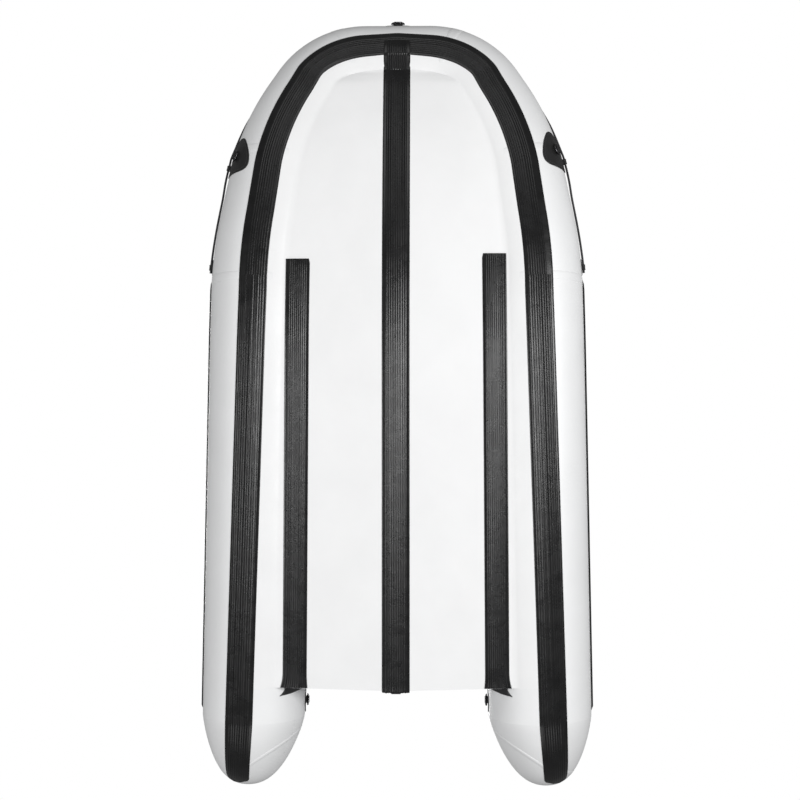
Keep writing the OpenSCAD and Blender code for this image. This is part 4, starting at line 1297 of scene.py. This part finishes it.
def make_patches(hull):
    webbing_lines = []
    bow = Shape()
    add_patch(bow, hull, hull.half_run, TOW_ANGLE, 0.065, 0.036, OVAL)
    add_sleeve(bow, hull.on_tube(hull.half_run, TOW_ANGLE), 0.004, 0.034, 0.011)
    piece("bow_patch_cloth", bow, MATERIALS["patch"], "patch_fabric", "bow_patch")
    webbing_lines.append(patch_stitches(hull, False, hull.half_run, TOW_ANGLE, 0.065, 0.036, OVAL))
    sides, sterns, lines = Shape(), Shape(), Shape()
    outline = rounded_outline(TRIANGLE_HALF)
    for port in (False, True):
        run = side_run(hull, port)
        for shape in (sides, sterns, lines):
            shape.port = port
        add_patch(sides, hull, run, SIDE_ANGLE, 0.066, 0.098, outline)
        add_sleeve(sides, hull.on_tube(run, SIDE_ANGLE), 0.003, 0.028, 0.007)
        add_eye(sides, hull.on_tube(run - 0.018, math.radians(86)), 0.02)
        webbing_lines.append(patch_stitches(hull, port, run, SIDE_ANGLE, 0.066, 0.098, outline))
        add_patch(sterns, hull, STERN_RUN, STERN_ANGLE, 0.05, 0.05, OVAL)
        add_sleeve(sterns, hull.on_tube(STERN_RUN, STERN_ANGLE), 0.003, 0.028, 0.007)
        webbing_lines.append(patch_stitches(hull, port, STERN_RUN, STERN_ANGLE, 0.05, 0.05, OVAL))
        aft_run, fore_run = hull.run_at(hull.bow_y - 0.835), hull.half_run - 0.33
        for at, angle in ((aft_run, 92), (fore_run, 112)):
            add_patch(lines, hull, at, math.radians(angle), 0.03, 0.028, OVAL)
            add_eye(lines, hull.on_tube(at, math.radians(angle)), 0.022)
    for name, shape, node in (
        ("side_patch_cloth", sides, "side_patches"),
        ("stern_patch_cloth", sterns, "stern_patches"),
        ("line_eyes", lines, "line_patches"),
    ):
        piece(name, shape, MATERIALS["patch"], "patch_fabric", node)
    settle(row_of_stitches("patch_stitches", webbing_lines), "hull", "patch_fabric")


def make_rings(hull):
    make_ring("tow_ring_wire", "tow_ring", hull.on_tube(hull.half_run, TOW_ANGLE), 0.004, 0.025, 0.011)
    for port in (True, False):
        side = side_name(port)
        make_ring(side + "_side_ring_wire", side + "_side_ring",
                  hull.on_tube(side_run(hull, port), SIDE_ANGLE, port), 0.003, 0.022, 0.007)
        make_ring(side + "_stern_ring_wire", side + "_stern_ring",
                  hull.on_tube(STERN_RUN, STERN_ANGLE, port), 0.003, 0.022, 0.007, True)


# ---- Carry handles ----
def make_handles(hull):
    """Webbing grips arched over oval base patches, box-stitched at both feet."""
    shape = Shape()
    lines = []
    places = [(hull.half_run, False), (hull.run_at(-0.65), False), (hull.run_at(-0.65), True)]
    oval = rounded_outline([(-1, 0), (-1, 0.6), (-0.85, 1), (0.85, 1), (1, 0.6), (1, 0)])
    for run, port in places:
        shape.port = port
        add_patch(shape, hull, run, math.pi, 0.095, 0.022, oval)
        place = hull.on_tube(run, math.pi)
        reach = math.sqrt(0.1**2 - (0.064 + PATCH_TOP) ** 2)
        rings = []
        stops = 40
        for k in range(stops + 1):
            x = -reach + 2 * reach * k / stops
            z = math.sqrt(max(0, 0.0985**2 - x * x)) - 0.064
            z = max(z, PATCH_TOP - 0.0006)
            fore = Vector((1, 0, -x / max(0.02, math.sqrt(max(1e-6, 0.0985**2 - x * x))))).normalized()
            out = Vector((-fore.z, 0, fore.x))
            grip = 0.35 + 0.65 * min(1, max(0, (0.035 - abs(x)) / 0.012))
            half, thick = 0.014, 0.0016 + 0.0022 * grip
            section = []
            for j in range(16):
                a = math.tau * j / 16
                c, s = math.cos(a), math.sin(a)
                section.append(Vector((x, 0, z)) + Vector((0, 1, 0)) * half * math.copysign(abs(c) ** 0.5, c)
                               + out * thick * math.copysign(abs(s) ** 0.6, s))
            rings.append(section)
        shape.loft(rings, place)
        for end in (-1, 1):
            x = end * (reach + 0.008)
            lines.append([
                (MIRROR if port else Matrix.Identity(4)) @ (place @ Vector((x + dx, dy, 0.0036)))
                for dx, dy in ((-0.006, -0.01), (0.006, -0.01), (0.006, 0.01), (-0.006, 0.01), (-0.006, -0.01))
            ])
    piece("handle_webbing", shape, MATERIALS["patch"], "patch_fabric", "carry_handles", angle=50)
    settle(row_of_stitches("handle_stitches", lines, 0.003), "hull", "patch_fabric")


# ---- Air floor and air keel ----
def make_floor(hull):
    """The air floor: a flat drop-stitch slab with round sides and a hem, and its valve hole."""
    size = sizes()
    aft = hull.transom_front + 0.076
    front = aft + size.floor_length
    side_y = front - 0.12
    bulge = [(hull.skin(s, -math.pi / 2, hull.radius).y, hull.skin(s, -math.pi / 2, hull.radius).x)
             for s in [hull.half_run * k / 120 for k in range(118)]]
    half = [(between(bulge, aft + (side_y - aft) * k / 40) - 0.006, aft + (side_y - aft) * k / 40) for k in range(41)]
    wide = half[-1][0]
    for k in range(1, 31):
        turn = math.radians(3 * k)
        half.append((wide - 0.11 * (1 - math.cos(turn)), side_y + 0.12 * math.sin(turn)))
    outline = half + [(-x, y) for x, y in reversed(half)]
    low, high = size.floor_low, size.floor_low + size.floor_thick
    centre = Vector((0, (aft + front) / 2))
    profile = []
    for k in range(13):
        a = -math.pi / 2 + math.pi * k / 12
        profile.append((0.028 * (1 - math.cos(a)), (low + high) / 2 + size.floor_thick / 2 * math.sin(a)))
    rings = []
    for inset, z in profile:
        ring = []
        for x, y in outline:
            ring.append((x * (1 - inset / 0.5), centre.y + (y - centre.y) * (1 - inset / 0.9), z))
        rings.append(ring)
    shape = Shape()
    shape.loft(rings)
    obj = shown("air_floor_slab", shape.mesh("air_floor_slab", 50, 1e-6), MATERIALS["floor"])
    cut_round(obj, (0.19, aft + 0.09, high - 0.05), 0.0225, 0.06)
    settle(obj, "hull", "floor_fabric", "air_floor")
    hem = Shape()
    rings = []
    for k in range(8):
        a = math.tau * k / 8
        inset, z = 0.0005 + 0.0009 * math.cos(a), (low + high) / 2 + 0.018 * math.sin(a)
        rings.append(
            [(x * (1 - inset / 0.5), centre.y + (y - centre.y) * (1 - inset / 0.9), z) for x, y in outline]
        )
    rings.append(rings[0])
    hem.loft(rings, caps=False)
    piece("air_floor_hem", hem, MATERIALS["inner"], "floor_fabric", angle=50, merge=1e-6)


def cut_round(obj, place, radius, depth):
    """Bores a round pocket down from place, its floor at that point."""
    data = bpy.data.meshes.new("bore")
    bore = bmesh.new()
    bmesh.ops.create_cone(bore, cap_ends=True, segments=48, radius1=radius, radius2=radius, depth=depth)
    bmesh.ops.translate(bore, verts=bore.verts, vec=Vector(place) + Vector((0, 0, depth / 2)))
    bore.to_mesh(data)
    bore.free()
    tool = shown("bore", data)
    cut = obj.modifiers.new("Bore", "BOOLEAN")
    cut.operation = "DIFFERENCE"
    cut.object = tool
    flattened(obj)
    bpy.data.objects.remove(tool)
    obj.data.shade_smooth()
    obj.data.set_sharp_from_angle(angle=math.radians(45))


def make_air_keel(hull):
    size = sizes()
    top = size.floor_low - 0.0005
    aft = hull.transom_front + 0.012
    front = hull.transom_front + 0.076 + size.floor_length - 0.07
    table = [(0, 0.5), (0.01, 0.82), (0.03, 0.96), (0.2, 1), (0.6, 1)]
    table += [(0.75, 0.95), (0.88, 0.8), (0.95, 0.6), (0.985, 0.35), (1, 0.08)]
    rings = []
    for k in range(81):
        share = k / 80
        y = aft + (front - aft) * share
        full = between(table, share)
        low = max(top - size.keel_height, hull.keel_z(y) + 0.006)
        middle, tall = (top + low) / 2, (top - low) / 2 * (0.4 + 0.6 * full)
        wide = 0.1 * full
        turns = [math.tau * j / 48 for j in range(48)]
        rings.append([(wide * math.sin(a), y, middle - tall * math.cos(a)) for a in turns])
    shape = Shape()
    shape.loft(rings)
    obj = shown("air_keel_tube", shape.mesh("air_keel_tube", 60), MATERIALS["floor"])
    cut_round(obj, (0, hull.transom_front + 0.042, top - 0.05), 0.0225, 0.06)
    settle(obj, "hull", "floor_fabric", "air_keel")


# ---- Transom ----
HOLDER_STOPS = [
    (-142, 14, 14, 0.1), (-132, 22, 22, 1), (-112, 22, 26, 1), (-92, 22, 30, 1), (-72, 22, 32, 1), (-60, 20, 34, 0.9),
    (-52, 14, 37, 0.4), (-46, 9.5, 39, 0.1), (-41, 9.2, 40, 0.05),
]


def make_holder(hull, port):
    """The moulded holder that grips the board's end, its after flange drawn out to a curved claw."""
    side = side_name(port)
    low, base = hull.strip_low, hull.strip_low + 0.004
    back, front = hull.transom_y - 0.0003, hull.transom_front + 0.0003

    def at(degree, y, radius):
        run, angle = hull.run_at(y), math.radians(degree)
        p, fore = hull.skin(run, angle, radius), hull.along(hull.run_at(y))
        return p + fore * (y - p.y) / fore.y

    def table(column):
        return [(stop[0], stop[column]) for stop in HOLDER_STOPS]

    shape = Shape(port)
    rings = []
    for k in range(76):
        degree = -142 + 101 * k / 75
        fore, aft, rise = (between(table(c), degree) for c in (1, 2, 3))
        start, end = hull.transom_y - aft / 1000, hull.transom_front + fore / 1000
        top = base + 0.022 * rise
        ring = [
            (start, low), (end, low), (end, low + 0.0024), (end - 0.0012, base), (front + 0.0072, base + 0.0004),
            (front + 0.006, base + (top - base) * 0.3), (front + 0.0052, top - 0.0008), (front + 0.004, top),
            (front + 0.0012, top), (front, top - 0.001 * rise), (front, base), (back, base), (back, top - 0.001 * rise),
            (back - 0.0012, top), (back - 0.004, top), (back - 0.0052, top - 0.0008),
            (back - 0.006, base + (top - base) * 0.3), (back - 0.0072, base + 0.0004), (start + 0.0012, base),
            (start, low + 0.0024),
        ]
        rings.append([at(degree, y, r) for y, r in ring])
    shape.loft(rings)
    rings = []
    for k in range(17):
        share = k / 16
        degree = -41 + 6 * share
        start = hull.transom_y - 0.040 - 0.003 * share**2
        end = hull.transom_y - 0.018 - 0.0225 * share**0.7
        thick = 0.004 * (1 - 0.5 * share)
        rings.append([at(degree, y, r) for y, r in (
            (start, low), (end, low), (end - 0.0006, low + thick * 0.8), ((start + end) / 2, low + thick),
            (start + 0.0004, low + thick * 0.8))])
    shape.loft(rings)
    node = side + "_transom_holder"
    piece(side + "_holder_moulding", shape, MATERIALS["plastic"], "trim_plastic", node, angle=38, merge=1e-6)


def make_drain_plug(hull):
    """The drain's cap with grip ribs around it and a bar to turn it by."""
    place = Matrix.Translation((0, hull.transom_y, 0.048)) @ Matrix.Rotation(math.pi / 2, 4, "X")
    shape = Shape()
    spigot = [(0.0001, -0.0098), (0.0115, -0.0098), (0.0127, -0.0085), (0.0127, 0.0052), (0.0001, 0.0052)]
    shape.turned(spigot, place, 48)
    around = 192
    rings = []
    cap = [(0.0005, 0.0054), (0.0232, 0.0054), (0.024, 0.0062), (0.024, 0.0235)]
    cap += [(0.0228, 0.0252), (0.0195, 0.0253), (0.0188, 0.0243), (0.0005, 0.0243)]
    for r0, z in cap:
        ring = []
        for j in range(around):
            a = math.tau * j / around
            groove = 0.0007 * (0.5 - 0.5 * math.cos(32 * a)) if 0.0235 < r0 else 0.0
            ring.append(((r0 - groove) * math.cos(a), (r0 - groove) * math.sin(a), z))
        rings.append(ring)
    shape.loft(rings, place)
    shape.block((-0.018, -0.0036, 0.0243), (0.018, 0.0036, 0.0331), place, 0.0014)
    plug = "drain_plug"
    piece("drain_plug_cap", shape, MATERIALS["plastic"], "drain_plastic", plug, body=plug, angle=40, merge=1e-6)


# ---- Valve caps ----
def make_valve_cap(which, hull):
    """A screw-topped valve cap with a knurled rim, a finger tab and its hinge."""
    if which in SIDES:
        place = hull.on_tube(hull.run_at(hull.transom_y + SIDE_VALVE_FORE), VALVE_ANGLE, which == "port")
    elif which == "bow":
        place = hull.on_tube(hull.run_at(hull.bow_y - BOW_VALVE_BACK), VALVE_ANGLE)
    elif which == "keel":
        place = Matrix.Translation((0, hull.transom_front + 0.042, 0.0915)) @ Matrix.Rotation(-math.pi / 2, 4, "Z")
    else:
        place = Matrix.Translation((0.19, hull.transom_front + 0.166, 0.152))
    low = 0.005
    around = 160
    rings = []
    for r, z, cut in (
        (0.0004, low - 0.003, 0), (0.0084, low - 0.003, 0), (0.009, low - 0.0024, 0), (0.009, low, 0), (0.0192, low, 0),
        (0.02, low + 0.0008, 1), (0.02, low + 0.0032, 1), (0.0192, low + 0.004, 0), (0.0142, low + 0.0042, 0),
        (0.0138, low + 0.0064, 0), (0.0132, low + 0.007, 0), (0.0116, low + 0.007, 0), (0.0108, low + 0.0062, 0),
        (0.0004, low + 0.006, 0),
    ):
        ring = []
        for j in range(around):
            a = math.tau * j / around
            knurl = cut * 0.0005 * (0.5 - 0.5 * math.cos(40 * a))
            ring.append(((r - knurl) * math.cos(a), (r - knurl) * math.sin(a), z))
        rings.append(ring)
    shape = Shape()
    shape.loft(rings, place)
    shape.block((-0.004, 0.0185, low + 0.0002), (0.004, 0.0255, low + 0.0028), place, 0.0006)
    hinge = place @ Matrix.Translation((-0.004, 0.026, 0.0082)) @ Matrix.Rotation(math.pi / 2, 4, "Y")
    shape.turned([(0.0016, 0), (0.003, 0), (0.003, 0.008), (0.0016, 0.008), (0.0016, 0)], hinge, 28)
    cap = which + "_valve_cap"
    piece(which + "_cap_moulding", shape, MATERIALS["plastic"], "cap_plastic", cap, body=cap, angle=40, merge=1e-6)


# ---- Bench ----
def make_bench():
    """The bench seat, its corners and edges rounded, with its hooks over the tracks."""
    low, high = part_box("bench_seat")
    top = high[2]
    board = top - 0.018
    shape = Shape()
    rings = []
    long, wide = (high[0] - low[0]) / 2, (high[1] - low[1]) / 2
    middle = (low[1] + high[1]) / 2
    edge = [(0.004, board), (0.001, board + 0.001), (0, board + 0.004)]
    edge += [(0, top - 0.004), (0.0012, top - 0.0012), (0.004, top)]
    for inset, z in edge:
        ring = []
        for k in range(64):
            a = math.tau * k / 64
            corner = 0.03
            cx = math.copysign(long - corner, math.cos(a)) if abs(math.cos(a)) > 1e-6 else 0
            cy = math.copysign(wide - corner, math.sin(a)) if abs(math.sin(a)) > 1e-6 else 0
            ring.append((cx + (corner - inset) * math.cos(a), middle + cy + (corner - inset) * math.sin(a), z))
        rings.append(ring)
    shape.loft(rings)
    for end in (-1, 1):
        for x in (long - 0.0485, long - 0.0215):
            a, b = sorted((end * x, end * (x + 0.006)))
            near, far = (a, middle - wide + 0.01, board - 0.012), (b, middle + wide - 0.01, board + 0.0005)
            shape.block(near, far, None, 0.002)
    seat = "bench_seat"
    piece("bench_seat_board", shape, MATERIALS["wood"], "bench_ply", seat, body=seat, angle=40, merge=1e-6)


# ---- Camera, light and ground ----
LENS_MM, SENSOR_MM = 66.15, 36
CAMERA_PLACE = (-0.117, 0.033, -5.692)
CAMERA_FORE = (0.0176, -0.0085, 1)
SKY_SEEN, SKY_LIGHT = 1.0, 0.2
GROUND_HALF, GROUND_Z = 6, -0.0004
GROUND_GREY = (0.88, 0.88, 0.88, 1)
# Each lamp's name, place, aim, width in metres and power in watts
LAMPS = (
    ("Key", (-3.9, 0.6, -3.9), (-0.1, 0, 0.2), 2.6, 205),
    ("Fill", (3.8, -0.4, -4.6), (-0.1, 0, 0.2), 2.6, 138),
    ("Bow", (0, 3.6, -2.6), (0, 0.8, 0.3), 2.4, 24),
    ("Stern", (0.4, -3.6, -2.4), (0, -0.8, 0.2), 2.4, 22),
    ("Top", (0.6, -0.5, 4.2), (0, 0, 0.2), 3.6, 165),
)


def make_stage():
    scene = bpy.context.scene
    eye = bpy.data.cameras.new("Camera")
    eye.lens, eye.sensor_width = LENS_MM, SENSOR_MM
    eye.clip_start, eye.clip_end = 0.1, 100
    camera = bpy.data.objects.new("Camera", eye)
    scene.collection.objects.link(camera)
    fore = Vector(CAMERA_FORE).normalized()
    right = Vector((-1, 0, 0))
    right = (right - fore * right.dot(fore)).normalized()
    up = right.cross(fore)
    grid = Matrix((right, up, -fore)).transposed().to_4x4()
    grid.translation = CAMERA_PLACE
    camera.matrix_world = grid
    scene.camera = camera
    for name, spot, aim, width, power in LAMPS:
        lamp = bpy.data.lights.new(name, "AREA")
        lamp.shape, lamp.size, lamp.energy = "DISK", width, power
        obj = bpy.data.objects.new(name, lamp)
        obj.location = spot
        obj.rotation_euler = (Vector(aim) - Vector(spot)).to_track_quat("-Z", "Y").to_euler()
        scene.collection.objects.link(obj)
    world = bpy.data.worlds.new("World")
    scene.world = world
    world.use_nodes = True
    nodes, links = world.node_tree.nodes, world.node_tree.links
    nodes.clear()
    ray = nodes.new("ShaderNodeLightPath")
    seen, lit = nodes.new("ShaderNodeBackground"), nodes.new("ShaderNodeBackground")
    mix = nodes.new("ShaderNodeMixShader")
    for sky, strength in ((seen, SKY_SEEN), (lit, SKY_LIGHT)):
        sky.inputs["Color"].default_value, sky.inputs["Strength"].default_value = (1, 1, 1, 1), strength
    end = nodes.new("ShaderNodeOutputWorld")
    links.new(ray.outputs["Is Camera Ray"], mix.inputs[0])
    links.new(lit.outputs[0], mix.inputs[1])
    links.new(seen.outputs[0], mix.inputs[2])
    links.new(mix.outputs[0], end.inputs[0])
    scene.view_settings.view_transform = "Standard"
    scene.view_settings.look = "None"
    # The ground shows from above only, so that the underside can be seen from below
    ground = Shape()
    corners = ((-1, -1), (1, -1), (1, 1), (-1, 1))
    ground.add([(x * GROUND_HALF, y * GROUND_HALF, GROUND_Z) for x, y in corners], [[0, 1, 2, 3]])
    pale = bpy.data.materials.new("Pale ground")
    pale.use_nodes = True
    nodes, links = pale.node_tree.nodes, pale.node_tree.links
    nodes.clear()
    ray, face = nodes.new("ShaderNodeLightPath"), nodes.new("ShaderNodeNewGeometry")
    cloth, clear = nodes.new("ShaderNodeBsdfDiffuse"), nodes.new("ShaderNodeBsdfTransparent")
    cloth.inputs["Color"].default_value = GROUND_GREY
    top_only, mix = nodes.new("ShaderNodeMath"), nodes.new("ShaderNodeMixShader")
    top_only.operation = "SUBTRACT"
    top_only.use_clamp = True
    end = nodes.new("ShaderNodeOutputMaterial")
    links.new(ray.outputs["Is Camera Ray"], top_only.inputs[0])
    links.new(face.outputs["Backfacing"], top_only.inputs[1])
    links.new(top_only.outputs[0], mix.inputs[0])
    links.new(clear.outputs[0], mix.inputs[1])
    links.new(cloth.outputs[0], mix.inputs[2])
    links.new(mix.outputs[0], end.inputs[0])
    data = ground.mesh("Ground")
    if data.polygons[0].normal.z < 0:
        data.flip_normals()
    shown("Ground", data, pale)


# ---- Operators, panel and registration ----
class HullOperator:
    """What every operator of the boat shares"""

    bl_options = {"REGISTER", "UNDO"}

    def execute(self, context):
        if not hasattr(context.scene, "dinghy_sizes"):
            raise RuntimeError("The boat's sizes aren't registered.")
        if not MATERIALS:
            paint_all()
        self.build(Hull(sizes()))
        return {"FINISHED"}


class DINGHY_OT_stage(HullOperator, bpy.types.Operator):
    """Sets the camera, the lights and the ground"""

    bl_idname = "dinghy.stage"
    bl_label = "Stage"

    def build(self, hull):
        make_stage()


class DINGHY_OT_lines(HullOperator, bpy.types.Operator):
    """Makes the two grab lines"""

    bl_idname = "dinghy.lines"
    bl_label = "Grab lines"

    def build(self, hull):
        for port in (True, False):
            make_grab_line(port)


class DINGHY_OT_tubes(HullOperator, bpy.types.Operator):
    """Makes the three lengths of tube with their seams and the two tail cones"""

    bl_idname = "dinghy.tubes"
    bl_label = "Tubes and cones"

    def build(self, hull):
        valve = hull.run_at(hull.transom_y + SIDE_VALVE_FORE)
        for port in (True, False):
            side = side_name(port)
            stops = run_stops(0, hull.baffle_run, 0.024, valve)
            make_tube(side + "_tube", hull, stops, port, side + "_chamber", valve)
            make_cone(hull, port)
        valve = hull.run_at(hull.bow_y - BOW_VALVE_BACK)
        stops = run_stops(hull.baffle_run, hull.full_run - hull.baffle_run, 0.012, valve)
        make_tube("bow_tube", hull, stops, False, "bow_chamber", valve)
        make_seams(hull)
        repaint(MATERIALS["inner"], "chamber_baffles")


class DINGHY_OT_bottom(HullOperator, bpy.types.Operator):
    """Makes the bottom sheet with its glued flange"""

    bl_idname = "dinghy.bottom"
    bl_label = "Bottom sheet"

    def build(self, hull):
        make_bottom(hull)


class DINGHY_OT_strips(HullOperator, bpy.types.Operator):
    """Makes the ribbed wear strips, the keel strip, the runners and the rub strakes"""

    bl_idname = "dinghy.strips"
    bl_label = "Strips and strakes"

    def build(self, hull):
        make_bow_wear_strip(hull)
        make_keel_strip(hull)
        for port in (True, False):
            make_side_wear_strip(hull, port)
            make_runner(hull, port)
            make_strake(hull, port)


class DINGHY_OT_patches(HullOperator, bpy.types.Operator):
    """Makes the patches with their sleeves, eyes and stitching, and the handles"""

    bl_idname = "dinghy.patches"
    bl_label = "Patches and handles"

    def build(self, hull):
        make_patches(hull)
        make_handles(hull)


class DINGHY_OT_rings(HullOperator, bpy.types.Operator):
    """Makes the tow ring, the side rings and the stern rings"""

    bl_idname = "dinghy.rings"
    bl_label = "Rings"

    def build(self, hull):
        make_rings(hull)


class DINGHY_OT_floor(HullOperator, bpy.types.Operator):
    """Makes the air floor and the air keel"""

    bl_idname = "dinghy.floor"
    bl_label = "Air floor and keel"

    def build(self, hull):
        make_floor(hull)
        make_air_keel(hull)


class DINGHY_OT_transom(HullOperator, bpy.types.Operator):
    """Makes the transom's holders and drain plug, and paints the board, trim, pads and bolts"""

    bl_idname = "dinghy.transom"
    bl_label = "Transom"

    def build(self, hull):
        for port in (True, False):
            make_holder(hull, port)
        make_drain_plug(hull)
        repaint(MATERIALS["paint"], "transom_board")
        repaint(MATERIALS["plastic"], "transom_trim", "motor_pads", "drain_body")
        repaint(MATERIALS["bolt"], "pad_bolts")


class DINGHY_OT_valves(HullOperator, bpy.types.Operator):
    """Makes the five valve caps, and paints the valves and their plungers"""

    bl_idname = "dinghy.valves"
    bl_label = "Valves"

    def build(self, hull):
        for which in VALVES:
            make_valve_cap(which, hull)
            repaint(MATERIALS["valve"], which + "_valve")
            repaint(MATERIALS["bolt"], which + "_valve_plunger")


class DINGHY_OT_fittings(HullOperator, bpy.types.Operator):
    """Makes the bench seat, and paints its tracks and the oarlocks"""

    bl_idname = "dinghy.fittings"
    bl_label = "Bench and oarlocks"

    def build(self, hull):
        make_bench()
        repaint(MATERIALS["track"], "bench_tracks")
        for side in SIDES:
            repaint(MATERIALS["plastic"], side + "_oarlock_base")
            repaint(MATERIALS["nylon"], side + "_oarlock")


OPERATORS = (
    DINGHY_OT_stage, DINGHY_OT_lines, DINGHY_OT_tubes, DINGHY_OT_bottom, DINGHY_OT_strips, DINGHY_OT_patches,
    DINGHY_OT_rings, DINGHY_OT_floor, DINGHY_OT_transom, DINGHY_OT_valves, DINGHY_OT_fittings,
)


class DINGHY_PT_panel(bpy.types.Panel):
    """The boat's sizes, colours and operators"""

    bl_label = "Inflatable dinghy"
    bl_idname = "DINGHY_PT_panel"
    bl_space_type = "VIEW_3D"
    bl_region_type = "UI"
    bl_category = "Dinghy"

    def draw(self, context):
        for group in (context.scene.dinghy_sizes, context.scene.dinghy_colours):
            box = self.layout.box()
            for key in group.__annotations__:
                box.prop(group, key)
        for operator in OPERATORS:
            self.layout.operator(operator.bl_idname)


CLASSES = (BoatSizes, BoatColours) + OPERATORS + (DINGHY_PT_panel,)


def register():
    for cls in CLASSES:
        bpy.utils.register_class(cls)
    bpy.types.Scene.dinghy_sizes = bpy.props.PointerProperty(type=BoatSizes)
    bpy.types.Scene.dinghy_colours = bpy.props.PointerProperty(type=BoatColours)


def unregister():
    del bpy.types.Scene.dinghy_colours
    del bpy.types.Scene.dinghy_sizes
    for cls in reversed(CLASSES):
        bpy.utils.unregister_class(cls)


def main():
    register()
    paint_all()
    for operator in OPERATORS:
        getattr(bpy.ops.dinghy, operator.bl_idname.split(".")[1])()


if __name__ == "__main__":
    main()
